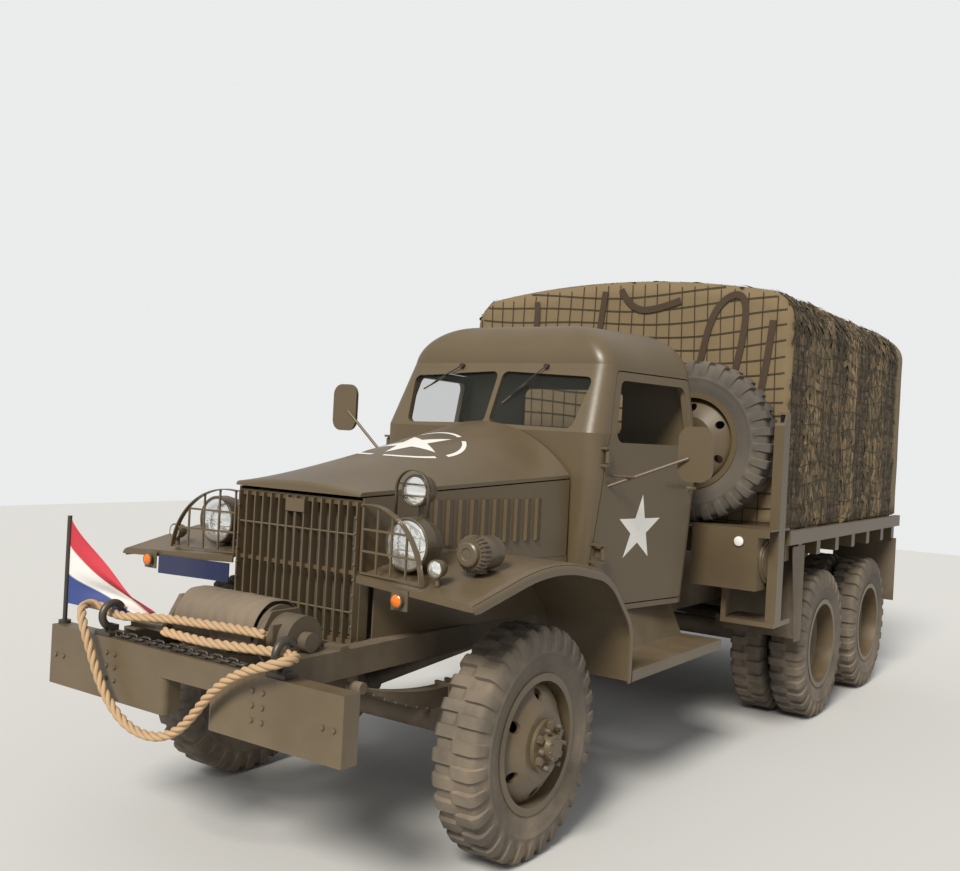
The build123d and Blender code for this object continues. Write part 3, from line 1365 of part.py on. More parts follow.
with BuildPart() as lamps:
    for side in (-1, 1):
        lamp_body((side * lamp_x, lamp_y, lamp_z), lamp_radius, 170)
        rod((side * lamp_x, lamp_y + 60, fender_deck(lamp_y + 80)), (side * lamp_x, lamp_y + 60, lamp_z - 60), 20)
        # Small marker lamp beside each headlamp, amber lamp under the lip
        lamp_body((side * 720, lamp_y - 70, 1170), 34, 64)
        rod((side * 720, lamp_y - 50, fender_deck(lamp_y - 40)), (side * 720, lamp_y - 50, 1150), 10)
    # Amber lamps on square plates hung below the fenders' front edges
    for x in (600, -780):
        lip_y = fender_edge_y(x) - 8
        lamp_body((x, lip_y - 23, 1046), 27, 21)
        block((x - 38, x + 38), (lip_y - 4, lip_y), (1008, 1084))
    # Blackout driving lamp above the left headlamp
    lamp_body((lamp_x + 10, lamp_y + 20, lamp_z + 205), 62, 110)
    rod((lamp_x + 10, lamp_y + 70, lamp_z + 40), (lamp_x + 10, lamp_y + 70, lamp_z + 170), 12)
    # Siren on the left fender
    rod((siren_x, front_axle_y - 400, siren_z), (siren_x, front_axle_y - 260, siren_z), 62)
    rod((siren_x, front_axle_y - 424, siren_z), (siren_x, front_axle_y - 398, siren_z), 46)
    rod((siren_x, front_axle_y - 330, fender_deck(front_axle_y - 304)), (siren_x, front_axle_y - 330, siren_z - 46), 26)
keep(lamps, "lamps")

guard_wire = 8
guard_strap_wall = 5
guard_strap_depth = 24
guard_x = (352, 690)
guard_high = 1376
guard_setback = 14


def guard_outline(inset, length, low):
    # The area under the strap's curve, seen from in front
    with BuildSketch() as area:
        with BuildLine():
            rise = guard_high - low
            ThreePointArc((0, guard_high - inset), (0.74 * length - inset * 0.7, low + 0.7 * rise - inset * 0.7),
                          (length - inset, low))
            Line((length - inset, low), (0, low))
            Line((0, low), (0, guard_high - inset))
        make_face()
    return area.sketch


with BuildPart() as lamp_guards:
    for side in (-1, 1):
        near = (side * guard_x[0], fender_edge_y(guard_x[0]) + guard_setback)
        far = (side * guard_x[1], fender_edge_y(guard_x[1]) + guard_setback)
        low = fender_deck(near[1] + guard_strap_depth)
        run = (far[0] - near[0], far[1] - near[1], 0)
        length = Vector(*run).length
        face = Plane(origin=(near[0], near[1], 0), x_dir=run, z_dir=(run[1], -run[0], 0))
        with BuildSketch(face) as strap:
            add(guard_outline(0, length, low))
            add(guard_outline(guard_strap_wall, length, low - 1), mode=Mode.SUBTRACT)
        extrude(strap.sketch, amount=guard_strap_depth / 2, both=True)
        with BuildSketch(face) as wires:
            with Locations((guard_wire / 2, (low + guard_high) / 2)):
                Rectangle(guard_wire, guard_high - low)
            for share in (0.26, 0.5, 0.74):
                with Locations((share * length, (low + guard_high) / 2)):
                    Rectangle(guard_wire, guard_high - low)
            for height in (low + guard_wire / 2, low + 88, low + 172):
                with Locations((length / 2, height)):
                    Rectangle(length, guard_wire)
            add(guard_outline(1, length, low), mode=Mode.INTERSECT)
        extrude(wires.sketch, amount=3, both=True)
keep(lamp_guards, "lamp_guards")

plate_ends = (-736, -353)
plate_heights = (990, 1070)
with BuildPart() as number_plate:
    plate_start = (plate_ends[0], fender_edge_y(plate_ends[0]) - 6, 0)
    plate_run = (plate_ends[1] - plate_ends[0], fender_edge_y(plate_ends[1]) - fender_edge_y(plate_ends[0]), 0)
    with BuildSketch(Plane(origin=plate_start, x_dir=plate_run, z_dir=(plate_run[1], -plate_run[0], 0))):
        with BuildLine():
            plate_length = Vector(*plate_run).length
            Polyline((0, plate_heights[0]), (plate_length, plate_heights[0]), (plate_length, plate_heights[1]),
                     (0, plate_heights[1]), close=True)
        make_face()
    extrude(amount=5)
keep(number_plate, "number_plate")

# Flag on its staff at the bumper's right end
staff_x = -bumper_half_width + 8
staff_y = bumper_y + 50
flag_sweep = 100
with BuildPart() as flag_staff:
    rod((staff_x, staff_y, bumper_top + seat_gap), (staff_x, staff_y, 1250), 9)
    rod((staff_x, staff_y, bumper_top + seat_gap), (staff_x, staff_y, bumper_top + 12), 24)
keep(flag_staff, "flag_staff")

with BuildPart() as flag:
    flag_plane = Plane(origin=(staff_x, staff_y, 0), x_dir=(420, flag_sweep, 0), z_dir=(flag_sweep, -420, 0))
    with BuildSketch(flag_plane):
        with BuildLine():
            Polyline((10, 1240), (10, 870), (340, 870), (430, 900), close=True)
        make_face()
    extrude(amount=3, both=True)
keep(flag, "flag")

# Tow rope: one laid rope through both hooks, with its slack hung over the bumper's face
rope_radius = 18
rope_points = [
    # x, y from the front axle, height
    (-150, -1008, 876), (50, -1014, 872), (220, -1012, 880), (350, -1005, 888), (440, -1001, 892),
    (500, -1000, 893), (540, -1017, 896), (562, -1058, 896), (546, -1098, 888), (500, -1118, 874),
    (420, -1116, 848), (320, -1108, 800), (222, -1102, 728), (140, -1098, 640), (60, -1096, 566),
    (-35, -1096, 524), (-135, -1096, 514), (-235, -1096, 534), (-325, -1098, 588), (-392, -1100, 664),
    (-436, -1104, 744), (-470, -1108, 812), (-506, -1106, 868), (-550, -1084, 908), (-578, -1052, 924),
    (-582, -1012, 922), (-552, -986, 908), (-492, -988, 895), (-410, -992, 892), (-310, -978, 902),
    (-170, -962, 914), (10, -966, 922), (190, -962, 930), (340, -972, 934),
]


def rope_path(points):
    radii = []
    for before, here, after in zip(points, points[1:], points[2:]):
        first = Vector(*here) - Vector(*before)
        second = Vector(*after) - Vector(*here)
        half_turn = radians(first.get_angle(second)) / 2
        radii.append(0.45 * min(first.length, second.length) / tan(half_turn))
    print("rope radii", [round(radius) for radius in radii])
    with BuildLine() as line:
        FilletPolyline(*points, radius=radii)
    return line.line


with BuildPart() as tow_rope:
    route = rope_path([(x, front_axle_y + y, z) for x, y, z in rope_points])
    with BuildSketch(Plane(origin=route @ 0, z_dir=route % 0)):
        Circle(rope_radius)
    sweep(path=route)
rope_length = sum(edge.length for edge in route.edges())
print("rope length", round(rope_length), "volume share",
      round(tow_rope.part.volume / (pi * rope_radius ** 2 * rope_length), 4))
keep(tow_rope, "tow_rope")

# Tow chain along the bumper's top, link through link
link_wire = 9
link_width = 32
link_length = 58
link_pitch = link_length - 2 * link_wire - 0.6
chain_y = bumper_y + 22
chain_z = bumper_top + link_width / 2 + seat_gap
chain_links = 18
with BuildPart() as tow_chain:
    for number in range(chain_links):
        x = -410 + number * link_pitch + link_length / 2
        flat = number % 2
        plane = Plane(origin=(x, chain_y, chain_z), x_dir=(1, 0, 0), z_dir=(0, 0, 1) if flat else (0, -1, 0))
        with BuildSketch(plane):
            SlotOverall(link_length, link_width)
            SlotOverall(link_length - 2 * link_wire, link_width - 2 * link_wire, mode=Mode.SUBTRACT)
        extrude(amount=link_wire / 2, both=True)
keep(tow_chain, "tow_chain")
print("all parts written")
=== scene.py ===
import json
import math
import bmesh
import bpy
import numpy as np
from mathutils import Matrix, Vector
from mathutils.bvhtree import BVHTree


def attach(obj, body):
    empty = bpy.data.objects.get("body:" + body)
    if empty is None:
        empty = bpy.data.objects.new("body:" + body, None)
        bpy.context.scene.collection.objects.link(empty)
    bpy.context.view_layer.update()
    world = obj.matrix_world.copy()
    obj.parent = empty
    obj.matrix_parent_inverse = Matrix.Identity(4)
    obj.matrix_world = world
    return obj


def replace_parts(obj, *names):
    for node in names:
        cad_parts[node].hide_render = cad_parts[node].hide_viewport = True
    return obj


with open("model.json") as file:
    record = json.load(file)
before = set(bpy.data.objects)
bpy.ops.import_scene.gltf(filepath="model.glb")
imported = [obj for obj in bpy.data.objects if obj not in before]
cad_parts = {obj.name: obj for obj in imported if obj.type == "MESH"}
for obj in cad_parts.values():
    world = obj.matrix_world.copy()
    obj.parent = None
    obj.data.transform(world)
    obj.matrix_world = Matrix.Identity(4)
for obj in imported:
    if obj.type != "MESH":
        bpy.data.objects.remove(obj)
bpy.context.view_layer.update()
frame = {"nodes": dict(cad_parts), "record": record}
nodes = frame["nodes"]
random = np.random.default_rng(7)
frontAxleY = -1.951


# Camera, solved from the truck's known sizes in the photograph; angles in radians
photoView = {"at": (2.9577, -5.4629, 1.6649), "yaw": 0.6051, "pitch": -0.001, "roll": 0.0518, "lens": 38.75,
             "sensor": 36}
yaw, pitch, roll = (photoView[angle] for angle in ("yaw", "pitch", "roll"))
forward = np.array([-math.sin(yaw) * math.cos(pitch), math.cos(yaw) * math.cos(pitch), math.sin(pitch)])
level = np.array([math.cos(yaw), math.sin(yaw), 0.0])
upright = np.cross(level, forward)
cameraX = level * math.cos(roll) + upright * math.sin(roll)
cameraY = -level * math.sin(roll) + upright * math.cos(roll)
lens = bpy.data.cameras.new("photoCamera")
lens.lens = photoView["lens"]
lens.sensor_width = photoView["sensor"]
camera = bpy.data.objects.new("photoCamera", lens)
bpy.context.scene.collection.objects.link(camera)
turn = Matrix((cameraX, cameraY, -forward)).transposed().to_4x4()
camera.matrix_world = Matrix.Translation(photoView["at"]) @ turn
bpy.context.scene.camera = camera
print("camera placed")


# Shader groups: each is one shared effect with named inputs
def shaderGroup(name, inputs, outputs):
    tree = bpy.data.node_groups.new(name, "ShaderNodeTree")
    for kind, title, value in inputs:
        socket = tree.interface.new_socket(title, in_out="INPUT", socket_type="NodeSocket" + kind)
        if value is not None:
            socket.default_value = value
    for kind, title in outputs:
        tree.interface.new_socket(title, in_out="OUTPUT", socket_type="NodeSocket" + kind)
    start = tree.nodes.new("NodeGroupInput")
    end = tree.nodes.new("NodeGroupOutput")
    return tree, start, end


def link(tree, source, target):
    tree.links.new(source, target)


def noise(tree, scale, detail=4.0, roughness=0.55):
    coordinates = tree.nodes.new("ShaderNodeTexCoord")
    texture = tree.nodes.new("ShaderNodeTexNoise")
    texture.inputs["Scale"].default_value = scale
    texture.inputs["Detail"].default_value = detail
    texture.inputs["Roughness"].default_value = roughness
    link(tree, coordinates.outputs["Object"], texture.inputs["Vector"])
    return texture


def rangeNode(tree, source, low, high, start=0.0, end=1.0):
    mapped = tree.nodes.new("ShaderNodeMapRange")
    mapped.inputs["From Min"].default_value = low
    mapped.inputs["From Max"].default_value = high
    mapped.inputs["To Min"].default_value = start
    mapped.inputs["To Max"].default_value = end
    link(tree, source, mapped.inputs["Value"])
    return mapped.outputs["Result"]


def arithmetic(tree, operation, first, second):
    node = tree.nodes.new("ShaderNodeMath")
    node.operation = operation
    node.use_clamp = True
    for socket, value in zip(node.inputs, (first, second)):
        if isinstance(value, (int, float)):
            socket.default_value = value
        else:
            link(tree, value, socket)
    return node.outputs[0]


def mixColour(tree, factor, first, second):
    node = tree.nodes.new("ShaderNodeMix")
    node.data_type = "RGBA"
    for socket, value in ((node.inputs[0], factor), (node.inputs[6], first), (node.inputs[7], second)):
        if isinstance(value, (int, float, tuple)):
            socket.default_value = value
        else:
            link(tree, value, socket)
    return node.outputs[2]


# Dust lies on what faces up and thickens towards the road
dust, dustIn, dustOut = shaderGroup("roadDust", [
    ("Color", "Base Color", (0.1, 0.1, 0.1, 1)), ("Color", "Dust Color", (0.3, 0.235, 0.165, 1)),
    ("Float", "Amount", 0.5), ("Float", "Roughness", 0.5)], [("Color", "Color"), ("Float", "Roughness")])
geometry = dust.nodes.new("ShaderNodeNewGeometry")
facing = dust.nodes.new("ShaderNodeSeparateXYZ")
link(dust, geometry.outputs["Normal"], facing.inputs[0])
place = dust.nodes.new("ShaderNodeTexCoord")
height = dust.nodes.new("ShaderNodeSeparateXYZ")
link(dust, place.outputs["Object"], height.inputs[0])
onTop = rangeNode(dust, facing.outputs["Z"], 0.1, 1.0, 0.0, 0.4)
lowDown = rangeNode(dust, height.outputs["Z"], 1.3, 0.25, 0.0, 0.75)
patches = rangeNode(dust, noise(dust, 3.1, 8.0, 0.62).outputs["Fac"], 0.36, 0.66)
share = arithmetic(dust, "MULTIPLY", arithmetic(dust, "ADD", onTop, lowDown), patches)
share = arithmetic(dust, "MULTIPLY", share, dustIn.outputs["Amount"])
dustColour = mixColour(dust, share, dustIn.outputs["Base Color"], dustIn.outputs["Dust Color"])
dulled = arithmetic(dust, "ADD", dustIn.outputs["Roughness"], arithmetic(dust, "MULTIPLY", share, 0.35))
link(dust, dustColour, dustOut.inputs["Color"])
link(dust, dulled, dustOut.inputs["Roughness"])

# Paint fades in broad clouds and is scuffed through in small specks
wear, wearIn, wearOut = shaderGroup("paintWear", [
    ("Color", "Base Color", (0.1, 0.1, 0.1, 1)), ("Color", "Scuff Color", (0.2, 0.18, 0.15, 1)),
    ("Float", "Fading", 0.2), ("Float", "Scuffs", 0.3)], [("Color", "Color")])
clouds = rangeNode(wear, noise(wear, 1.7, 6.0).outputs["Fac"], 0.3, 0.7)
faded = mixColour(wear, arithmetic(wear, "MULTIPLY", clouds, wearIn.outputs["Fading"]),
                  wearIn.outputs["Base Color"], (0.27, 0.215, 0.145, 1))
specks = rangeNode(wear, noise(wear, 46.0, 9.0, 0.7).outputs["Fac"], 0.66, 0.72)
link(wear, mixColour(wear, arithmetic(wear, "MULTIPLY", specks, wearIn.outputs["Scuffs"]), faded,
                     wearIn.outputs["Scuff Color"]), wearOut.inputs["Color"])

# Fine unevenness of a surface as a bump
grain, grainIn, grainOut = shaderGroup("surfaceGrain", [
    ("Float", "Scale", 60.0), ("Float", "Strength", 0.2), ("Float", "Distance", 0.002)], [("Vector", "Normal")])
grainNoise = noise(grain, 60.0, 5.0)
link(grain, grainIn.outputs["Scale"], grainNoise.inputs["Scale"])
grainBump = grain.nodes.new("ShaderNodeBump")
link(grain, grainIn.outputs["Strength"], grainBump.inputs["Strength"])
link(grain, grainIn.outputs["Distance"], grainBump.inputs["Distance"])
link(grain, grainNoise.outputs["Fac"], grainBump.inputs["Height"])
link(grain, grainBump.outputs["Normal"], grainOut.inputs["Normal"])

# Woven cloth: a crossed pair of waves as a bump
weave, weaveIn, weaveOut = shaderGroup("clothWeave", [
    ("Float", "Scale", 220.0), ("Float", "Strength", 0.3)], [("Vector", "Normal"), ("Float", "Thread")])
weavePlace = weave.nodes.new("ShaderNodeTexCoord")
threads = []
for direction in ("Y", "Z"):
    wave = weave.nodes.new("ShaderNodeTexWave")
    wave.bands_direction = direction
    link(weave, weavePlace.outputs["Object"], wave.inputs["Vector"])
    link(weave, weaveIn.outputs["Scale"], wave.inputs["Scale"])
    threads.append(wave.outputs["Fac"])
thread = arithmetic(weave, "MULTIPLY", *threads)
weaveBump = weave.nodes.new("ShaderNodeBump")
weaveBump.inputs["Distance"].default_value = 0.001
link(weave, weaveIn.outputs["Strength"], weaveBump.inputs["Strength"])
link(weave, thread, weaveBump.inputs["Height"])
link(weave, weaveBump.outputs["Normal"], weaveOut.inputs["Normal"])
link(weave, thread, weaveOut.inputs["Thread"])
print("shader groups made")


def useGroup(tree, group, **values):
    node = tree.nodes.new("ShaderNodeGroup")
    node.node_tree = group
    for title, value in values.items():
        node.inputs[title.replace("_", " ")].default_value = value
    return node


def finish(name, colour, roughness=0.6, metallic=0.0, dusty=0.5, fading=0.2, scuffs=0.25,
           scuffColour=(0.22, 0.2, 0.17, 1), grainScale=60.0, grainStrength=0.15, cloth=False, attribute=None):
    # Wear, then dust, then grain or weave, all feeding one Principled surface
    material = bpy.data.materials.new(name)
    material.use_nodes = True
    tree = material.node_tree
    surface = tree.nodes["Principled BSDF"]
    surface.inputs["Metallic"].default_value = metallic
    worn = useGroup(tree, wear, Base_Color=(*colour, 1), Scuff_Color=scuffColour, Fading=fading, Scuffs=scuffs)
    if attribute:
        tint = tree.nodes.new("ShaderNodeAttribute")
        tint.attribute_name = attribute
        link(tree, tint.outputs["Color"], worn.inputs["Base Color"])
    dusted = useGroup(tree, dust, Amount=dusty, Roughness=roughness)
    link(tree, worn.outputs["Color"], dusted.inputs["Base Color"])
    link(tree, dusted.outputs["Color"], surface.inputs["Base Color"])
    link(tree, dusted.outputs["Roughness"], surface.inputs["Roughness"])
    if cloth:
        relief = useGroup(tree, weave)
    else:
        relief = useGroup(tree, grain, Scale=grainScale, Strength=grainStrength)
    link(tree, relief.outputs["Normal"], surface.inputs["Normal"])
    return material


def clearGlass(name, colour, alpha=1.0, roughness=0.05, metallic=0.0):
    material = bpy.data.materials.new(name)
    material.use_nodes = True
    surface = material.node_tree.nodes["Principled BSDF"]
    for title, value in (("Base Color", (*colour, 1)), ("Roughness", roughness), ("Metallic", metallic),
                         ("Alpha", alpha), ("IOR", 1.5)):
        surface.inputs[title].default_value = value
    return material


# One finish for each material slot of the record
materials = {
    "body_paint": finish("bodyPaint", (0.094, 0.068, 0.036), roughness=0.36, fading=0.06, dusty=0.3,
                         grainScale=14.0, grainStrength=0.12),
    "chassis_paint": finish("chassisPaint", (0.062, 0.046, 0.027), dusty=0.7, scuffs=0.4),
    "lamp_paint": finish("lampPaint", (0.072, 0.054, 0.031), roughness=0.34, dusty=0.25, scuffs=0.1),
    "cab_fittings_paint": finish("fittingsPaint", (0.045, 0.045, 0.035), roughness=0.5, dusty=0.2),
    "tyre_rubber": finish("tyreRubber", (0.05, 0.045, 0.04), roughness=0.8, dusty=0.75, fading=0.3, scuffs=0.1,
                          grainScale=90.0, grainStrength=0.3),
    "tarp_canvas": finish("tarpCanvas", (0.17, 0.122, 0.062), roughness=0.9, cloth=True, scuffs=0.0, dusty=0.15,
                          fading=0.15),
    # The net's colour is read from each band's tint, which holds the strips' painted fold shade and painted light
    "net_cloth": finish("netCloth", (0.1, 0.095, 0.045), roughness=0.95, cloth=True, attribute="tint", scuffs=0.0,
                        fading=0.04, dusty=0.08),
    "cover_canvas": finish("coverCanvas", (0.115, 0.085, 0.06), roughness=0.75, cloth=True, scuffs=0.05, fading=0.4),
    "seat_canvas": finish("seatCanvas", (0.11, 0.1, 0.065), roughness=0.9, cloth=True, scuffs=0.0),
    "rope_fibre": finish("ropeFibre", (0.46, 0.3, 0.16), roughness=0.9, scuffs=0.3,
                         scuffColour=(0.25, 0.16, 0.09, 1), fading=0.4, grainScale=400.0, grainStrength=0.5,
                         dusty=0.3),
    "dark_steel": finish("darkSteel", (0.045, 0.043, 0.04), roughness=0.42, metallic=0.6, dusty=0.3, scuffs=0.4),
    "engine_iron": finish("engineIron", (0.06, 0.06, 0.05), metallic=0.3, dusty=0.6),
    "exhaust_iron": finish("exhaustIron", (0.12, 0.07, 0.04), roughness=0.85, metallic=0.2, dusty=0.6, scuffs=0.6),
    "flag_cloth": finish("flagCloth", (0.5, 0.04, 0.05), roughness=0.75, cloth=True, attribute="tint", scuffs=0.0,
                         fading=0.05, dusty=0.1),
    "window_glass": clearGlass("windowGlass", (0.03, 0.035, 0.03), alpha=0.2, roughness=0.02),
    "plate_enamel": finish("plateEnamel", (0.012, 0.02, 0.07), roughness=0.3, dusty=0.2, scuffs=0.1, fading=0.05),
    "bed_wood": finish("bedWood", (0.09, 0.078, 0.05), roughness=0.7, grainScale=25.0, grainStrength=0.4),
}
starWhite = finish("starWhite", (0.72, 0.71, 0.68), roughness=0.5, dusty=0.15, fading=0.05,
                   scuffColour=(0.25, 0.23, 0.18, 1))
lensGlass = clearGlass("lampLens", (0.86, 0.88, 0.86), roughness=0.12, metallic=0.75)
amberGlass = clearGlass("amberLens", (0.75, 0.16, 0.01), roughness=0.15)
mirrorFace = clearGlass("mirrorFace", (0.8, 0.82, 0.82), roughness=0.03, metallic=1.0)
for entry in frame["record"]["subparts"]:
    mesh = nodes[entry["node"]].data
    mesh.materials.clear()
    mesh.materials.append(materials[entry["material_slot"]])
print("materials made")


# Surfaces on grids, all in metres in the row's frame
def circleAngles(count):
    # Equal steps round a full turn, the last short of the first
    return np.linspace(0, 2 * math.pi, count, endpoint=False)


def gridFaces(rows, columns, closeRows=False, closeColumns=False):
    # Quads between neighbouring points of a grid numbered row by row
    i, j = np.meshgrid(np.arange(rows if closeRows else rows - 1),
                       np.arange(columns if closeColumns else columns - 1), indexing="ij")
    i, j = i.ravel(), j.ravel()
    nextI, nextJ = (i + 1) % rows, (j + 1) % columns
    return np.stack([i * columns + j, nextI * columns + j, nextI * columns + nextJ, i * columns + nextJ], 1)


def ringFaces(rows, columns, first=True, last=True):
    # A tube of rings, each of an even number of points, with its ends closed by quads fanned from one point
    fan = np.arange(1, columns - 2, 2)
    cap = np.stack([0 * fan, fan, fan + 1, fan + 2], 1)
    faces = [gridFaces(rows, columns, False, True)]
    if first:
        faces.append(cap)
    if last:
        faces.append(cap[:, ::-1] + (rows - 1) * columns)
    return np.concatenate(faces)


# A mesh object that rides on a body, from its points and faces
def piece(name, points, faces, material, body="truck", slot=None, smooth=True, tint=None, sharp=None, solid=False):
    mesh = bpy.data.meshes.new(name)
    mesh.from_pydata(np.asarray(points, float).reshape(-1, 3).tolist(), [], np.asarray(faces).tolist())
    if solid:
        # Every closed shell's faces are turned outwards
        shells = bmesh.new()
        shells.from_mesh(mesh)
        bmesh.ops.recalc_face_normals(shells, faces=shells.faces)
        shells.to_mesh(mesh)
        shells.free()
    mesh.polygons.foreach_set("use_smooth", np.full(len(mesh.polygons), smooth))
    if sharp:
        mesh.set_sharp_from_angle(angle=math.radians(sharp))
    mesh.materials.append(material)
    if tint is not None:
        layer = mesh.attributes.new("tint", "FLOAT_COLOR", "POINT")
        layer.data.foreach_set("color", np.asarray(tint, float).ravel())
    mesh.update()
    made = bpy.data.objects.new(name, mesh)
    bpy.context.scene.collection.objects.link(made)
    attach(made, body)
    return made


def joined(shells):
    # Several (points, faces) shells as one
    allPoints, allFaces, count = [], [], 0
    for points, faces in shells:
        flat = np.asarray(points, float).reshape(-1, 3)
        allPoints.append(flat)
        allFaces.append(np.asarray(faces) + count)
        count += len(flat)
    return np.concatenate(allPoints), np.concatenate(allFaces)


def frames(path):
    # Unit tangents and two normals at right angles, carried along a path of points without twisting
    tangent = np.gradient(path, axis=0)
    tangent /= np.linalg.norm(tangent, axis=1)[:, None]
    side = np.zeros_like(path)
    first = np.cross(tangent[0], (0.0, 0.0, 1.0))
    if np.linalg.norm(first) < 0.1:
        first = np.cross(tangent[0], (1.0, 0.0, 0.0))
    side[0] = first / np.linalg.norm(first)
    for k in range(1, len(path)):
        carried = side[k - 1] - tangent[k] * np.dot(side[k - 1], tangent[k])
        side[k] = carried / np.linalg.norm(carried)
    return tangent, side, np.cross(tangent, side)


def tube(path, radius, around=8):
    # P(t, a) = path(t) + r (cos a N + sin a B)
    path = np.asarray(path, float)
    tangent, side, other = frames(path)
    angle = circleAngles(around)
    ring = side[:, None] * np.cos(angle)[None, :, None] + other[:, None] * np.sin(angle)[None, :, None]
    return path[:, None] + radius * ring, ringFaces(len(path), around)


def splinePoints(route, steps):
    # Points read from the quadratic NURBS spline whose control points are the route's, so many for each span
    curve = bpy.data.curves.new("route", "CURVE")
    curve.dimensions = "3D"
    curve.resolution_u = 128
    spline = curve.splines.new("NURBS")
    spline.points.add(len(route) - 1)
    for point, place in zip(spline.points, route):
        point.co = (*place, 1.0)
    spline.order_u = 3
    spline.use_endpoint_u = True
    holder = bpy.data.objects.new("route", curve)
    line = bpy.data.meshes.new_from_object(holder)
    fine = np.empty(len(line.vertices) * 3)
    line.vertices.foreach_get("co", fine)
    fine = fine.reshape(-1, 3)
    bpy.data.objects.remove(holder)
    bpy.data.meshes.remove(line)
    bpy.data.curves.remove(curve)
    wanted = np.linspace(0, len(fine) - 1, (len(route) - 2) * steps + 1)
    return np.stack([np.interp(wanted, np.arange(len(fine)), column) for column in fine.T], 1)


def evenly(path, spacing):
    # The path's own line at equal steps of its length, and that length
    lengths = np.concatenate([[0], np.cumsum(np.linalg.norm(np.diff(path, axis=0), axis=1))])
    count = max(2, int(round(lengths[-1] / spacing)) + 1)
    wanted = np.linspace(0, lengths[-1], count)
    return np.stack([np.interp(wanted, lengths, path[:, axis]) for axis in range(3)], 1), lengths[-1]


# Tow rope: three strands twisted round the route's spline
rope = {
    "radius": 0.018, "strandRadius": 0.0089, "strandOffset": 0.0091, "layLength": 0.125, "spacing": 0.006,
    # millimetres, y from the front axle
    "route": [
        (-150, -1008, 876), (50, -1014, 872), (220, -1012, 880), (350, -1005, 888), (440, -1001, 892),
        (500, -1000, 893), (540, -1017, 896), (562, -1058, 896), (546, -1098, 888), (500, -1118, 874),
        (420, -1116, 848), (320, -1108, 800), (222, -1102, 728), (140, -1098, 640), (60, -1096, 566),
        (-35, -1096, 524), (-135, -1096, 514), (-235, -1096, 534), (-325, -1098, 588), (-392, -1100, 664),
        (-436, -1104, 744), (-470, -1108, 812), (-506, -1106, 868), (-550, -1084, 908), (-578, -1052, 924),
        (-582, -1012, 922), (-552, -986, 908), (-492, -988, 895), (-410, -992, 892), (-310, -978, 902),
        (-170, -962, 914), (10, -966, 922), (190, -962, 930), (340, -972, 934)],
}
ropeRoute = np.array(rope["route"], float) / 1000 + (0, frontAxleY, 0)
ropeLine, ropeLength = evenly(splinePoints(ropeRoute, 12), rope["spacing"])
_, ropeSide, ropeOther = frames(ropeLine)
along = np.linspace(0, ropeLength, len(ropeLine))
strands = []
for number in range(3):
    turnAngle = (2 * math.pi * (along / rope["layLength"] + number / 3))[:, None]
    twisted = ropeLine + rope["strandOffset"] * (ropeSide * np.cos(turnAngle) + ropeOther * np.sin(turnAngle))
    strands.append(tube(twisted, rope["strandRadius"], 8))
towRope = piece("towRope", *joined(strands), materials["rope_fibre"], slot="rope_fibre", solid=True)
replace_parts(towRope, "tow_rope")
print("rope laid", round(ropeLength, 3))

# Chain: a stadium's outline swept by a round wire for each link, every other link turned on its side
chain = {"wire": 0.0045, "width": 0.032, "length": 0.058, "pitch": 0.0394, "count": 18,
         "start": -0.410, "y": -2.978, "z": 0.8323, "steps": 22, "wireSides": 8}


def stadium(length, width, count):
    # Two half circles of that width, moved apart to the length
    half = (length - width) / 2
    angle = circleAngles(count)
    return np.stack([np.cos(angle) * width / 2 + np.where(np.cos(angle) > 0, half, -half),
                     np.sin(angle) * width / 2], 1)


chainLinks = []
outline = stadium(chain["length"] - 2 * chain["wire"], chain["width"] - 2 * chain["wire"], chain["steps"])
wireAngle = circleAngles(chain["wireSides"])[None, :, None]
for number in range(chain["count"]):
    flatLink = number % 2
    loop = np.zeros((chain["steps"], 3))
    loop[:, 0] = chain["start"] + number * chain["pitch"] + chain["length"] / 2 + outline[:, 0]
    loop[:, 1 if flatLink else 2] = outline[:, 1]
    loop += (0, chain["y"], chain["z"])
    tangent = np.roll(loop, -1, 0) - np.roll(loop, 1, 0)
    tangent /= np.linalg.norm(tangent, axis=1)[:, None]
    across = np.array((0.0, 0.0, 1.0) if flatLink else (0.0, 1.0, 0.0))
    outward = np.cross(tangent, across)
    points = loop[:, None] + chain["wire"] * (outward[:, None] * np.cos(wireAngle) + across * np.sin(wireAngle))
    chainLinks.append((points, gridFaces(chain["steps"], chain["wireSides"], True, True)))
towChain = piece("towChain", *joined(chainLinks), materials["dark_steel"], slot="dark_steel", solid=True)
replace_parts(towChain, "tow_chain")
print("chain laid")

# Tyres: a bead-to-bead profile turned round the axle, raised at the lugs of each side in turn
tyre = {
    "lugs": 30, "axleZ": 0.46, "frontX": 0.790, "rearX": (0.737, 0.978), "rearY": (1.173, 2.291),
    "spare": (0.590, frontAxleY + 2.116, 1.692), "sharp": 35,
    # offset and radius at a lug, offset and radius between lugs
    "profile": [(0.0877, 0.2545, 0.0877, 0.2545), (0.0905, 0.279, 0.0905, 0.279), (0.0985, 0.302, 0.0985, 0.302),
                (0.1040, 0.330, 0.1040, 0.330), (0.1060, 0.352, 0.1060, 0.352), (0.1080, 0.357, 0.1080, 0.357),
                (0.1080, 0.361, 0.1080, 0.361), (0.1060, 0.366, 0.1056, 0.366), (0.1075, 0.376, 0.1045, 0.378),
                (0.1060, 0.400, 0.0985, 0.402), (0.1010, 0.428, 0.0925, 0.422), (0.0935, 0.4475, 0.0850, 0.4360),
                (0.0770, 0.4600, 0.0760, 0.4415), (0.0500, 0.4600, 0.0500, 0.4430), (0.0160, 0.4600, 0.0180, 0.4435),
                (0.0050, 0.4580, 0.0050, 0.4540)],
    # share of a lug's pitch, whether the right half and the left half are raised there
    "phases": [(0.0, 0, 1), (0.05, 1, 0), (0.27, 1, 0), (0.5, 1, 0), (0.55, 0, 1), (0.77, 0, 1)],
}


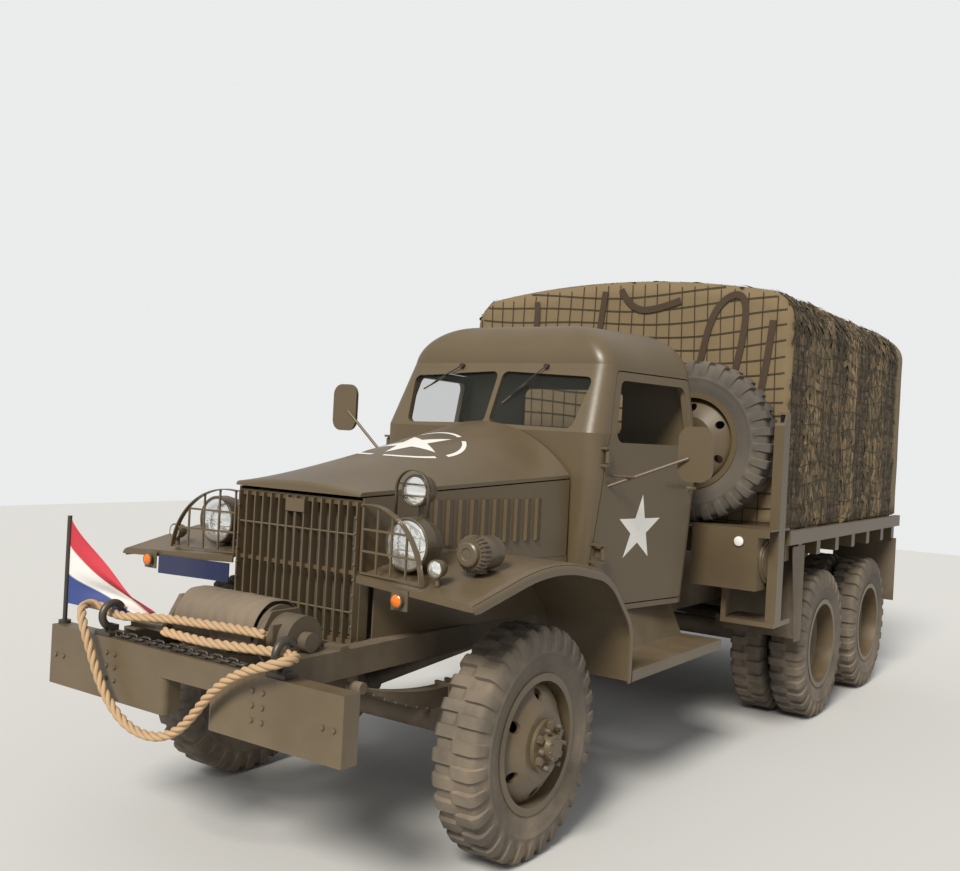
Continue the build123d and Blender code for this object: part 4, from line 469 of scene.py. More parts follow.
def tyreShell(centre, axis):
    # P(a, s) = centre + x(s) axis + r(s, a) (cos a, sin a), r = lug top or groove by the phase of a
    profile = np.array(tyre["profile"])
    lug, groove = profile[:, :2], profile[:, 2:]
    rows = []
    for number in range(tyre["lugs"]):
        for phase, raisedRight, raisedLeft in tyre["phases"]:
            angle = 2 * math.pi * (number + phase) / tyre["lugs"]
            right = lug if raisedRight else groove
            left = (lug if raisedLeft else groove)[::-1] * (-1, 1)
            across, radius = np.concatenate([right, left]).T
            outwards, upwards = radius * math.cos(angle), radius * math.sin(angle)
            rows.append(np.stack([across, outwards, upwards] if axis == "x" else [outwards, across, upwards], 1))
    faces = gridFaces(len(rows), 2 * len(profile), True, False)
    return np.array(rows) + np.array(centre), faces if axis == "y" else faces[:, ::-1]


tyresAt = {}
for side, word in ((1, "left"), (-1, "right")):
    tyresAt[f"tyre_front_{word}"] = (f"wheel_front_{word}", [(side * tyre["frontX"], frontAxleY)])
    for number, y in enumerate(tyre["rearY"], 1):
        twin = [(side * x, y) for x in tyre["rearX"]]
        tyresAt[f"tyres_rear_{word}_{number}"] = (f"wheels_rear_{word}_{number}", twin)
for node, (body, centres) in tyresAt.items():
    shells = [tyreShell((x, y, tyre["axleZ"]), "x") for x, y in centres]
    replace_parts(piece(node + "_tread", *joined(shells), materials["tyre_rubber"], body, "tyre_rubber",
                      sharp=tyre["sharp"]), node)
spareTread = piece("spare_tread", *tyreShell(tyre["spare"], "y"), materials["tyre_rubber"], slot="tyre_rubber",
                   sharp=tyre["sharp"])
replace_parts(spareTread, "spare_tyre")
print("tyres made")

# Outline of the hoops: upright sides, a rounded corner and a shallow roof
hoopOutline = {"half": 1.078, "bottom": 1.222, "arcX": 0.888, "arcZ": 2.388, "arcRadius": 0.190, "arcEnd": 80.07,
               "crown": 2.655, "rise": 0.110, "under": 0.001, "perSide": 16, "perArc": 9, "perTop": 12}


def outlinePoints(bottom):
    # Side x = half, corner of arcRadius, roof z = crown - rise (x / half)^2; with the outward normals
    shape = hoopOutline
    sideZ = np.linspace(bottom, shape["arcZ"], shape["perSide"], endpoint=False)
    top = math.radians(shape["arcEnd"])
    angle = np.linspace(0, top, shape["perArc"], endpoint=False)
    roofX = np.linspace(shape["arcX"] + shape["arcRadius"] * math.cos(top), 0, shape["perTop"] + 1)
    slope = 2 * shape["rise"] * roofX / shape["half"] ** 2
    points = np.concatenate([
        np.stack([np.full(len(sideZ), shape["half"]), sideZ], 1),
        np.stack([shape["arcX"] + shape["arcRadius"] * np.cos(angle),
                  shape["arcZ"] + shape["arcRadius"] * np.sin(angle)], 1),
        np.stack([roofX, shape["crown"] - shape["rise"] * (roofX / shape["half"]) ** 2 - shape["under"]], 1)])
    normals = np.concatenate([
        np.stack([np.ones(len(sideZ)), np.zeros(len(sideZ))], 1), np.stack([np.cos(angle), np.sin(angle)], 1),
        np.stack([slope, np.ones(len(slope))], 1) / np.hypot(slope, 1)[:, None]])
    return (np.concatenate([points, points[-2::-1] * (-1, 1)]),
            np.concatenate([normals, normals[-2::-1] * (-1, 1)]))


def wavy(a, b):
    # Mean of three crossed sines
    return (np.sin(4.03 * a + 2.3 * b) + np.sin(5.94 * a - 3.9 * b + 1.0) + np.sin(6.97 * a + 6.1 * b + 2.0)) / 3


# Canvas: the hoop's outline run rearwards, slack between the bows, and a front wall
canvas = {"front": frontAxleY + 2.250, "rear": frontAxleY + 4.864, "firstBow": frontAxleY + 2.300, "bowPitch": 0.630,
          "slack": 0.010, "slackFrom": 1.8, "slackOver": 0.3, "inset": 0.003, "ripple": 0.0025, "frontRipple": 0.003,
          "frontSet": 0.002, "wall": 0.004, "width": 4.75, "steps": 90, "frontSteps": 18}
outlineAt, outlineNormal = outlinePoints(hoopOutline["bottom"])
canvasY = np.linspace(canvas["front"], canvas["rear"], canvas["steps"])
sag = np.sin(math.pi * (canvasY - canvas["firstBow"]) / canvas["bowPitch"]) ** 2
heightShare = np.clip((outlineAt[:, 1] - canvas["slackFrom"]) / canvas["slackOver"], 0, 1)
ripple = wavy(canvasY[:, None] * 5, np.arange(len(outlineAt))[None] * 0.16)
shift = canvas["ripple"] * ripple - canvas["slack"] * sag[:, None] * heightShare[None] - canvas["inset"]
section = outlineAt[None] + shift[..., None] * outlineNormal[None]
roof = np.stack([section[..., 0], np.broadcast_to(canvasY[:, None], shift.shape), section[..., 1]], -1)
# The wall's rings shrink from the outline to the middle of its foot
shares = np.linspace(1, 0.004, canvas["frontSteps"])[:, None]
footZ = hoopOutline["bottom"] + 0.001
frontX = shares * outlineAt[None, :, 0]
frontZ = footZ + shares * (outlineAt[None, :, 1] - footZ)
frontY = canvas["front"] + canvas["frontSet"] + canvas["frontRipple"] * wavy(frontX * 6, frontZ * 5) * (1 - shares)
canvasPoints, canvasFaces = joined([
    (roof, gridFaces(*shift.shape)),
    (np.stack([frontX, frontY, frontZ], -1), gridFaces(*frontX.shape)[:, ::-1])])
tarpaulin = piece("tarpaulin", canvasPoints, canvasFaces, materials["tarp_canvas"], slot="tarp_canvas")
thicken = tarpaulin.modifiers.new("wall", "SOLIDIFY")
thicken.thickness = canvas["wall"]
thicken.offset = 0
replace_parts(tarpaulin, "tarp")

# Camouflage net: knotted ribbons and loose scrim strips laid along the canvas's outline
net = {"front": frontAxleY + 2.2475, "rear": frontAxleY + 4.700, "bottom": 1.228, "mesh": 0.085, "ribbon": 0.006,
       "width": 4.7, "strips": 7000, "stripLength": (0.05, 0.17), "stripWidth": (0.018, 0.05), "lift": (0.001, 0.013),
       "margin": 0.008, "strapWidth": 0.04, "strapLift": 0.009, "overLift": 0.0135, "overRibbon": 0.005,
       "overPitch": (0.11, 0.095),
       # olive, brown, dull green, straw, dark olive
       "scrim": ((0.17, 0.118, 0.056), (0.21, 0.145, 0.07), (0.075, 0.06, 0.026), (0.26, 0.18, 0.09),
                 (0.12, 0.088, 0.04)),
       "meshColour": (0.03, 0.024, 0.012), "strapColour": (0.05, 0.032, 0.018),
       # x and z of each long strap's route over the front
       "straps": (((-0.155, 2.3), (-0.14, 2.45), (-0.12, 2.6)),
                  ((-0.01, 2.61), (0.05, 2.5), (0.2, 2.465), (0.39, 2.53)),
                  ((0.5, 2.03), (0.533, 2.172), (0.58, 2.4), (0.65, 2.52), (0.744, 2.565), (0.8, 2.51), (0.79, 2.3),
                   (0.75, 2.12)),
                  ((0.96, 2.4), (0.94, 2.2), (0.9, 1.95), (0.88, 1.7)), ((-0.62, 2.55), (-0.6, 2.4), (-0.64, 2.2)),
                  ((-0.9, 2.3), (-0.8, 2.1), (-0.86, 1.8)), ((0.3, 2.25), (0.34, 2.0), (0.3, 1.8)))}
netOutline, netNormal = outlinePoints(net["bottom"])
netRun = np.concatenate([[0], np.cumsum(np.linalg.norm(np.diff(netOutline, axis=0), axis=1))])
netAround = netRun[-1]
bands, tints = [], []


def onNet(run, y, lift):
    # P(s, y) = outline(s) + lift * normal(s), at y
    flat = [np.interp(run, netRun, column) for column in (*netOutline.T, *netNormal.T)]
    return np.stack([flat[0] + lift * flat[2], np.broadcast_to(y, np.shape(run)), flat[1] + lift * flat[3]], -1)


def onFront(x, z, lift):
    # P(x, z) on the canvas's front wall, lifted forwards
    return np.stack([x, np.broadcast_to(net["front"] - lift, np.shape(x)), z], -1)


def acrossNet(run):
    # Direction round the outline at right angles to its normal
    return -np.interp(run, netRun, netNormal[:, 1]), 0, np.interp(run, netRun, netNormal[:, 0])


def insideOutline(x, z):
    # Whether x, z lies within the hoops' outline less the margin
    shape, margin = hoopOutline, net["margin"]
    top = shape["crown"] - shape["rise"] * (x / shape["half"]) ** 2 - margin
    over = np.hypot(np.maximum(np.abs(x) - shape["arcX"], 0), np.maximum(z - shape["arcZ"], 0))
    corner = (np.abs(x) > shape["arcX"]) & (z > shape["arcZ"])
    return (np.abs(x) < shape["half"] - margin) & (z < top) & ~(corner & (over > shape["arcRadius"] - margin))


def addBand(line, across, width, tint):
    # A flat band of that width: P(t, s) = line(t) + s across, s from -w/2 to w/2, facing line x across
    half = np.asarray(across, float) * width / 2
    bands.append((np.stack([line - half, line + half], 1), gridFaces(len(line), 2)))
    tints.append(np.broadcast_to((*tint, 1.0), (2 * len(line), 4)))


netY = np.linspace(net["front"] + 0.004, net["rear"], 34)
for run in np.arange(0.02, netAround, net["mesh"]):
    addBand(onNet(np.full(34, run), netY, 0.003), acrossNet(run), net["ribbon"], net["meshColour"])
for y in np.arange(net["front"] + 0.02, net["rear"], net["mesh"]):
    addBand(onNet(netRun, y, 0.004), (0, -1, 0), net["ribbon"], net["meshColour"])
for x in np.arange(-1.05, 1.06, net["mesh"]):
    z = np.linspace(net["bottom"], 2.66, 60)
    lineX = x + 0.012 * np.sin(3.1 * z + 4 * x) + 0.005 * x * (2.6 - z)
    keep = insideOutline(lineX, z)
    addBand(onFront(lineX[keep], z[keep], 0.003), (-1, 0, 0), net["ribbon"], net["meshColour"])
for z in np.arange(net["bottom"] + 0.03, 2.65, net["mesh"]):
    x = np.linspace(-1.07, 1.07, 70)
    lineZ = z - 0.05 * (1 - x ** 2) + 0.012 * np.sin(5.0 * x + 9 * z)
    keep = insideOutline(x, lineZ) & (lineZ > net["bottom"])
    if keep.sum() > 3:
        addBand(onFront(x[keep], lineZ[keep], 0.004), (0, 0, 1), net["ribbon"], net["meshColour"])


def addStrip(centre, along, up, length, width, tint):
    # A short band bowed off the net: P(t) = centre + t length along + 2 mm cos(5 t) up, t from -1/2 to 1/2
    steps = np.linspace(-0.5, 0.5, 5)
    line = centre + np.outer(steps * length, along) + np.outer(0.002 * np.cos(steps * 5.0), up)
    addBand(line, np.cross(up, along), width, tint)


for number in range(net["strips"]):
    run, y = random.uniform(0, netAround), random.uniform(net["front"] + 0.02, net["rear"] - 0.02)
    if random.random() < 0.45:
        run = random.uniform(0, 1.5)
    onTop = 1.35 < run < netAround - 1.35
    if onTop and random.random() < 0.4:
        continue
    downwards = np.array(acrossNet(run))
    normal = np.array([downwards[2], 0, -downwards[0]])
    length = random.uniform(*net["stripLength"])
    # Strips hang in columns, as folds do; the column's height lifts each strip off the net and also scales its
    # colour, as painted shade in the hollows and painted light on the crests
    fold = 0.5 + 0.5 * math.sin(9.0 * y + 1.2 * math.sin(2.7 * run) + 0.8 * math.sin(23.0 * y))
    angle = random.normal(0, 0.6)
    direction = math.cos(angle) * downwards + math.sin(angle) * np.array((0.0, 1.0, 0.0))
    lift = net["lift"][0] + (net["lift"][1] - net["lift"][0]) * fold * random.uniform(0.4, 1.0)
    centre = onNet(np.array(run), y, lift - 0.002)
    centre = centre + (0, 0, max(0.0, net["bottom"] - centre[2] + abs(direction[2]) * length / 2))
    # Colour times (0.5 + 0.65 fold): painted shade in the fold hollows, painted light on the fold crests
    tint = np.array(net["scrim"][random.integers(5)]) * random.uniform(0.55, 1.1) * (0.5 + 0.65 * fold)
    addStrip(centre, direction, normal, length, random.uniform(*net["stripWidth"]), tint)
for route in net["straps"]:
    smooth = splinePoints([(x, 0.0, z) for x, z in route], 8)
    line = onFront(smooth[:, 0], smooth[:, 2], net["strapLift"])
    along = np.gradient(line, axis=0)
    across = np.cross((0.0, -1.0, 0.0), along / np.linalg.norm(along, axis=1)[:, None])
    addBand(line, across, net["strapWidth"], net["strapColour"])
# Mesh lines over the scrim, on the sides only
runPitch, yPitch = net["overPitch"]
for run in np.concatenate([np.arange(0.03, 1.4, runPitch), np.arange(netAround - 1.37, netAround, runPitch)]):
    addBand(onNet(run + 0.02 * np.sin(7.0 * netY + 5 * run), netY, net["overLift"]), acrossNet(run),
            net["overRibbon"], net["meshColour"])
for y in np.arange(net["front"] + 0.02, net["rear"], yPitch):
    for first, last in ((0.02, 1.4), (netAround - 1.4, netAround - 0.02)):
        runs = np.linspace(first, last, 26)
        addBand(onNet(runs, y + 0.014 * np.sin(9.0 * runs + 4 * y), net["overLift"]), (0, -1, 0),
                net["overRibbon"], net["meshColour"])
netPoints, netFaces = joined(bands)
camouflage = piece("scrimNet", netPoints, netFaces, materials["net_cloth"], slot="net_cloth",
                   tint=np.concatenate(tints))
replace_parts(camouflage, "camouflage_net")

# Flag: three bands; P(s, t) = staff + out(s, t) toward + fold(s, t) aside, its top edge drooping from the staff
flagCut = {"staff": (-0.779, -2.950), "toward": (0.9728, 0.2316), "hoist": (1.238, 0.896), "free": (0.905, 0.874),
           "start": 0.010, "fly": 0.43, "swing": 0.04, "fold": 0.024, "crease": 0.006, "width": 0.34,
           "bands": ((0.46, 0.022, 0.04), (0.66, 0.65, 0.62), (0.025, 0.05, 0.2))}
s, t = np.meshgrid(np.linspace(0, 1, 43), np.linspace(0, 1, 60), indexing="ij")
topLine, bottomLine = (hoist + (free - hoist) * t ** droop
                       for hoist, free, droop in zip(flagCut["hoist"], flagCut["free"], (0.8, 1.0)))
out = flagCut["start"] + (flagCut["fly"] - flagCut["start"]) * t - flagCut["swing"] * t * s
fold = t * (flagCut["fold"] * np.sin(6.0 * t + 9.0 * s) + flagCut["crease"] * np.sin(19 * s + 5 * t))
towardX, towardY = flagCut["toward"]
flagGrid = np.stack([flagCut["staff"][0] + towardX * out - towardY * fold,
                     flagCut["staff"][1] + towardY * out + towardX * fold,
                     topLine + (bottomLine - topLine) * s], -1)
bandNumber = np.minimum((s * 3).astype(int), 2)
flagTint = np.concatenate([np.array(flagCut["bands"])[bandNumber], np.ones((43, 60, 1))], -1)
flagFaces = gridFaces(43, 60)
colourFlag = piece("bandedFlag", flagGrid, flagFaces, materials["flag_cloth"], slot="flag_cloth",
                   tint=flagTint.reshape(-1, 4))
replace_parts(colourFlag, "flag")

# Lamp glasses: shallow domes with upright flutes, and the wires of their rims
lamp = {
    "y": frontAxleY - 0.450, "fluteRate": 900, "flutedTo": 0.97, "proud": 0.0006,
    "head": {"x": 0.530, "z": 1.235, "radius": 0.092, "bulge": 0.022, "flute": 0.0011, "rim": 0.098, "wire": 0.006},
    "blackout": {"x": 0.540, "back": 0.020, "z": 1.440, "radius": 0.052, "bulge": 0.010, "flute": 0.0006,
                 "rim": 0.058, "wire": 0.0045},
    "marker": {"x": 0.720, "forward": 0.070, "z": 1.170, "radius": 0.028, "bulge": 0.008},
    "amber": {"xs": (0.600, -0.780), "z": 1.046, "forward": 0.031, "radius": 0.022, "bulge": 0.008, "flute": 0.0004},
    # the apron's front edge slants back from the grille
    "apron": {"x": 0.338, "y": frontAxleY - 0.515, "slope": 0.1486},
}


def dome(centre, radius, bulge, flutes=0.0):
    # Facing forward: x = R r cos a, z = R r sin a, y = -bulge (1 - r^2) + flutes cos(rate x)
    r, a = np.meshgrid(np.linspace(0.02, 1, 14), circleAngles(48), indexing="ij")
    x, z = radius * r * np.cos(a), radius * r * np.sin(a)
    y = -bulge * (1 - r ** 2) + flutes * np.cos(lamp["fluteRate"] * x) * (r < lamp["flutedTo"]) - lamp["proud"]
    return np.stack([centre[0] + x, centre[1] + y, centre[2] + z], -1), ringFaces(14, 48, last=False)


def rimRing(centre, radius, wire):
    # Ring in the x-z plane: P(a, b) = centre + (R + w cos b) (cos a, sin a), y = -w sin b
    angle, turn = circleAngles(48), circleAngles(8)
    outward = np.stack([np.cos(angle), np.zeros(48), np.sin(angle)], 1)
    ring = outward[:, None] * np.cos(turn)[None, :, None] + np.array((0, -1.0, 0)) * np.sin(turn)[None, :, None]
    return (np.asarray(centre) + radius * outward)[:, None] + wire * ring, gridFaces(48, 8, True, True)


def amberPlace(x):
    # In front of the apron's slanted edge
    edge = lamp["apron"]["y"] - (abs(x) - lamp["apron"]["x"]) * lamp["apron"]["slope"]
    return x, edge - lamp["amber"]["forward"], lamp["amber"]["z"]


head, blackout, marker, amber = (lamp[kind] for kind in ("head", "blackout", "marker", "amber"))
headPlaces = [(side * head["x"], lamp["y"], head["z"]) for side in (1, -1)]
blackoutPlace = (blackout["x"], lamp["y"] + blackout["back"], blackout["z"])
markerPlaces = [(side * marker["x"], lamp["y"] - marker["forward"], marker["z"]) for side in (1, -1)]
piece("headlampGlasses", *joined([dome(place, head["radius"], head["bulge"], head["flute"]) for place in headPlaces]),
      lensGlass)
piece("headlampRims", *joined([rimRing((x, y - 0.001, z), head["rim"], head["wire"]) for x, y, z in headPlaces]
                              + [rimRing(blackoutPlace, blackout["rim"], blackout["wire"])]),
      materials["lamp_paint"], solid=True)
piece("markerGlasses", *joined([dome(place, marker["radius"], marker["bulge"]) for place in markerPlaces]
                               + [dome(blackoutPlace, blackout["radius"], blackout["bulge"], blackout["flute"])]),
      lensGlass)
piece("amberGlasses", *joined([dome(amberPlace(x), amber["radius"], amber["bulge"], amber["flute"])
                               for x in amber["xs"]]), amberGlass)
print("lamp glasses made")

# Stars: flat shapes laid down on a panel by rays along its facing
star = {"notch": 0.382, "ringWidth": 0.02, "ringHalfArc": 0.5, "proud": 0.0012, "rayStart": 0.3,
        "hood": {"centre": (0.0, frontAxleY + 0.22, 1.55), "radius": 0.19, "ring": 0.24},
        "door": {"centre": (0.745, frontAxleY + 1.194, 1.234), "radius": 0.175}}


def treeOf(node):
    mesh = nodes[node].data
    corners = np.empty(len(mesh.vertices) * 3)
    mesh.vertices.foreach_get("co", corners)
    return BVHTree.FromPolygons(corners.reshape(-1, 3).tolist(), [tuple(face.vertices) for face in mesh.polygons])


def laidOn(tree, places, direction, lift):
    # Each place moved along the direction until it lies a lift short of the panel
    laid = []
    for place in np.asarray(places).reshape(-1, 3):
        hit, _, _, distance = tree.ray_cast(Vector(place), Vector(direction))
        laid.append(Vector(place) + Vector(direction) * (distance - lift) if hit else Vector(place))
    return np.array(laid).reshape(np.shape(places))


def starShells(radius, ringAt=None):
    # P(s, a) = s r(a) (sin a, cos a), r(a) on the straight edge between a tip and a notch; ring arcs between tips
    fifth = 2 * math.pi / 5
    angle = circleAngles(120)
    fromTip = fifth / 2 - np.abs(angle % fifth - fifth / 2)
    rise = star["notch"] * math.sin(fifth / 2)
    edge = radius * rise / (np.sin(fromTip) * (1 - star["notch"] * math.cos(fifth / 2)) + rise * np.cos(fromTip))
    reach = np.linspace(0.02, 1, 12)[:, None] * edge[None]
    shells = [(np.stack([reach * np.sin(angle), reach * np.cos(angle)], -1), ringFaces(12, 120, last=False)[:, ::-1])]
    if ringAt:
        sides = (ringAt - star["ringWidth"] / 2, ringAt + star["ringWidth"] / 2)
        for middle in fifth / 2 + fifth * np.arange(5):
            arc = np.linspace(middle - star["ringHalfArc"], middle + star["ringHalfArc"], 24)
            shells.append((np.stack([np.outer(sides, np.sin(arc)), np.outer(sides, np.cos(arc))], -1),
                           gridFaces(2, 24)[:, ::-1]))
    return shells


def starOn(name, node, body, place, right, up, facing):
    # P = centre + x right + y up, then laid on the node's panel; facing points into it
    tree = treeOf(node)
    shells = []
    for flat, faces in starShells(place["radius"], place.get("ring")):
        spots = np.asarray(place["centre"]) + flat[..., :1] * np.asarray(right) + flat[..., 1:] * np.asarray(up)
        shells.append((laidOn(tree, spots - star["rayStart"] * np.asarray(facing), facing, star["proud"]), faces))
    return piece(name, *joined(shells), starWhite, body)


starOn("hoodStar", "hood", "hood", star["hood"], (-1.0, 0, 0), (0, -1.0, 0), (0, 0, -1.0))
starOn("doorStar", "door_left", "door_left", star["door"], (0, 1.0, 0), (0, 0, 1.0), (-1.0, 0, 0))
print("stars made")

# Guard of the blackout lamp: a flat hoop down to the fender and two cross bars
hoop = {"radius": 0.078, "y": lamp["y"] + 0.006, "legs": 0.085, "overrun": 0.15, "depth": 0.016, "wall": 0.004,
        "bars": (-0.02, 0.025), "barRadius": 0.003}
hoopCentre = np.array((blackout["x"], hoop["y"], blackout["z"]))
hoopAngle = np.linspace(-hoop["overrun"], math.pi + hoop["overrun"], 40)
hoopLine = hoopCentre + hoop["radius"] * np.stack([np.cos(hoopAngle), np.zeros(40), np.sin(hoopAngle)], 1)
leg = np.array((0, 0, hoop["legs"]))
hoopLine = np.concatenate([hoopLine[:1] - leg, hoopLine, hoopLine[-1:] - leg])


def strap(line, depth, wall):
    # Rectangle swept along a line in the x-z plane: depth along y, wall across the line
    tangent = np.gradient(line, axis=0)
    tangent /= np.linalg.norm(tangent, axis=1)[:, None]
    across = np.cross(tangent, (0.0, 1.0, 0.0))
    corners = [(-depth / 2, -wall / 2), (depth / 2, -wall / 2), (depth / 2, wall / 2), (-depth / 2, wall / 2)]
    points = np.stack([line + np.array((0.0, 1.0, 0.0)) * y + across * w for y, w in corners], 1)
    return points, ringFaces(len(line), 4)


bars = [tube([hoopCentre + (-hoop["radius"], 0, z), hoopCentre + (hoop["radius"], 0, z)], hoop["barRadius"], 6)
        for z in hoop["bars"]]
piece("blackoutHoop", *joined([strap(hoopLine, hoop["depth"], hoop["wall"])] + bars), materials["lamp_paint"],
      solid=True)

# Siren: finned front, barrel and sound grid, each a profile of offset, radius and share of the fins
siren = {
    "centre": (0.790, frontAxleY - 0.330, 1.224), "teeth": 24, "toothDepth": 0.06,
    "fins": [(-0.078, 0.030, 0), (-0.078, 0.056, 1), (-0.060, 0.066, 1), (-0.034, 0.066, 1), (-0.030, 0.0635, 0)],
    "barrel": [(-0.03, 0.0632, 0), (-0.022, 0.0645, 0), (0.02, 0.0645, 0), (0.024, 0.0632, 0), (0.055, 0.0632, 0),
               (0.069, 0.060, 0), (0.0705, 0.03, 0)],
    "grid": [(-0.0945, 0.003, 0), (-0.0945, 0.02, 0), (-0.0985, 0.024, 0), (-0.0985, 0.04, 0), (-0.0945, 0.046, 0),
             (-0.074, 0.0475, 0)],
}


def turnedShell(centre, profile, count, depth=0.0):
    # P(s, a) = centre + y(s) + r(s) (1 + depth sign(cos(teeth a))) (cos a, sin a), where the profile is toothed
    a = circleAngles(count)
    profile = np.array(profile, float)
    r = profile[:, 1:2] * (1 + depth * profile[:, 2:3] * np.sign(np.cos(siren["teeth"] * a))[None])
    points = np.stack([centre[0] + r * np.cos(a), np.broadcast_to(centre[1] + profile[:, :1], r.shape),
                       centre[2] + r * np.sin(a)], -1)
    return points, ringFaces(len(profile), count)


piece("sirenTrim", *joined([turnedShell(siren["centre"], siren["fins"], 96, siren["toothDepth"]),
                            turnedShell(siren["centre"], siren["barrel"], 48),
                            turnedShell(siren["centre"], siren["grid"], 48)]),
      materials["lamp_paint"], sharp=30, solid=True)
print("lamp guard and siren made")


def discs(places, facing, radius, height, sides):
    # Short prisms with a slightly domed cap: P(l, a) = place + R share(l) (cos a, sin a) + facing rise(l)
    facing = np.asarray(facing, float)
    first = np.cross(facing, (0.0, 0.0, 1.0))
    second = np.cross(facing, first)
    a = circleAngles(sides)
    ring = first * np.cos(a)[:, None] + second * np.sin(a)[:, None]
    levels = [(1.0, -0.002), (1.0, height * 0.8), (0.85, height), (0.02, height * 1.08)]
    shape = np.stack([radius * share * ring + facing * rise for share, rise in levels])
    return [(np.asarray(place) + shape, ringFaces(len(levels), sides)) for place in places]


# Wipers: arm and blade along the slanted glass
wiper = {"screenY": -1.159, "screenZ": 1.7, "slant": 0.4588, "pivotZ": 2.025, "hub": 0.012, "arm": 0.0035,
         "blade": 0.0045,
         # pivot x, then x and z of the blade's end
         "sweeps": ((-0.250, -0.470, 1.895), (0.270, 0.060, 1.830))}


def onScreen(x, z, off):
    # y = screenY + slant (z - screenZ) - off, the slanted glass's plane
    return np.array((x, wiper["screenY"] + wiper["slant"] * (z - wiper["screenZ"]) - off, z))


arms, blades = [], []
for pivotX, endX, endZ in wiper["sweeps"]:
    pivot, end = onScreen(pivotX, wiper["pivotZ"], 0.012), onScreen(endX, endZ, -0.008)
    arms.append(tube([pivot + (0, 0.014, 0), pivot - (0, 0.012, 0)], wiper["hub"], 12))
    arms.append(tube([pivot - (0, 0.006, 0), 0.45 * pivot + 0.55 * end - (0, 0.014, 0), 0.2 * pivot + 0.8 * end],
                     wiper["arm"], 6))
    blades.append(tube([0.55 * pivot + 0.45 * end + (0, 0.004, 0), end], wiper["blade"], 6))
piece("wiperArms", *joined(arms), materials["dark_steel"], sharp=40, solid=True)
piece("wiperBlades", *joined(blades), materials["tyre_rubber"], sharp=40, solid=True)
print("wipers made")

# Round white reflectors on the step boxes' front faces
reflector = {"x": 0.941, "y": -0.021, "z": 1.159, "radius": 0.0265, "bulge": 0.004, "sunk": 0.0035,
             "ring": [(0.004, 0.031, 0), (-0.006, 0.031, 0), (-0.0075, 0.028, 0), (-0.004, 0.026, 0)]}
reflectorPlaces = [np.array((side * reflector["x"], reflector["y"], reflector["z"])) for side in (1, -1)]
piece("reflectorRims", *joined([turnedShell(place, reflector["ring"], 40) for place in reflectorPlaces]),
      materials["body_paint"], solid=True)
piece("reflectorFaces", *joined([dome(place - (0, reflector["sunk"], 0), reflector["radius"], reflector["bulge"])
                                 for place in reflectorPlaces]), starWhite)

# Thin rods through the grille's bars, the blank plate at its head and the rivets up its posts
grille = {"front": frontAxleY - 0.512, "half": 0.328, "rodBack": 0.004, "rodZ": (0.955, 1.255), "rod": 0.004,
          "plateHalf": (0.052, 0.027), "plateZ": 1.345, "rivetX": 0.3245, "rivetZ": (0.84, 1.38, 0.06),
          "rivet": 0.006, "rivetHeight": 0.003,
          # share of the outline and forward offset of each layer of the plate
          "plateLayers": ((1, -0.004), (1, 0.004), (0.94, 0.006), (0.02, 0.006))}
rodY = grille["front"] + grille["rodBack"]
rods = [tube([(-grille["half"], rodY, z), (grille["half"], rodY, z)], grille["rod"], 6) for z in grille["rodZ"]]
piece("grilleRods", *joined(rods), materials["body_paint"], sharp=40, solid=True)
plateCorners = np.array(((-1, -1), (1, -1), (1, 1), (-1, 1))) * grille["plateHalf"]
plateLayers = np.stack([np.stack([plateCorners[:, 0] * share, np.full(4, grille["front"] - rise),
                                  grille["plateZ"] + plateCorners[:, 1] * share], 1)
                        for share, rise in grille["plateLayers"]])
piece("grilleBlank", plateLayers, ringFaces(4, 4), materials["body_paint"], smooth=False, solid=True)
rivets = [(side * grille["rivetX"], grille["front"], z) for side in (1, -1) for z in np.arange(*grille["rivetZ"])]
piece("grilleRivets", *joined(discs(rivets, (0, -1, 0), grille["rivet"], grille["rivetHeight"], 10)),
      materials["body_paint"], solid=True)
print("grille trim made")

# Mirror glasses, facing rearwards: x = w |cos a|^0.4 and z = h |sin a|^0.4 with their signs
mirror = {"half": (0.078, 0.121), "squareness": 0.4, "layers": ((1, -0.001), (1, 0.0008), (0.96, 0.0016)),
          "heads": {"left": (1.028, frontAxleY + 1.080, 1.623), "right": (-1.028, frontAxleY + 0.900, 1.780)}}
a = circleAngles(48)
mirrorX, mirrorZ = (half * np.sign(wave(a)) * np.abs(wave(a)) ** mirror["squareness"]
                    for half, wave in zip(mirror["half"], (np.cos, np.sin)))
for word, (x, y, z) in mirror["heads"].items():
    layers = np.stack([np.stack([x + mirrorX * share, np.full(48, y + rise), z + mirrorZ * share], 1)
                       for share, rise in mirror["layers"]])
    piece(f"mirror_glass_{word}", layers, ringFaces(3, 48), mirrorFace, f"door_{word}", sharp=30, solid=True)
print("mirror glasses made")

# Fenders: the CAD's shape without the narrow tongue under each front corner, whose points go up to the lip
tongue = {"rear": -2.25, "top": 1.046}
fenderMesh = nodes["front_fenders"].data.copy()
fenderMesh.name = "fenderPanels"
fenderPoints = np.empty(len(fenderMesh.vertices) * 3)
fenderMesh.vertices.foreach_get("co", fenderPoints)
fenderPoints = fenderPoints.reshape(-1, 3)
fenderPoints[(fenderPoints[:, 1] < tongue["rear"]) & (fenderPoints[:, 2] < tongue["top"]), 2] = tongue["top"]
fenderMesh.vertices.foreach_set("co", fenderPoints.ravel())
fenderMesh.update()
fenders = bpy.data.objects.new("fenderPanels", fenderMesh)
bpy.context.scene.collection.objects.link(fenders)
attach(fenders, "truck")
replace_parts(fenders, "front_fenders")
print("fenders made")

# Hub bolts: a ring of small heads round each front hub's cap and a ring of studs in the wheel's dish
hub = {"x": 0.790, "z": 0.46,
       "cap": 0.1715, "capRing": 0.043, "capTurn": 0.2, "capCount": 8, "capHead": (0.0065, 0.008, 6),
       "dish": 0.154, "studRing": 0.084, "studCount": 6, "studHead": (0.0095, 0.016, 12)}


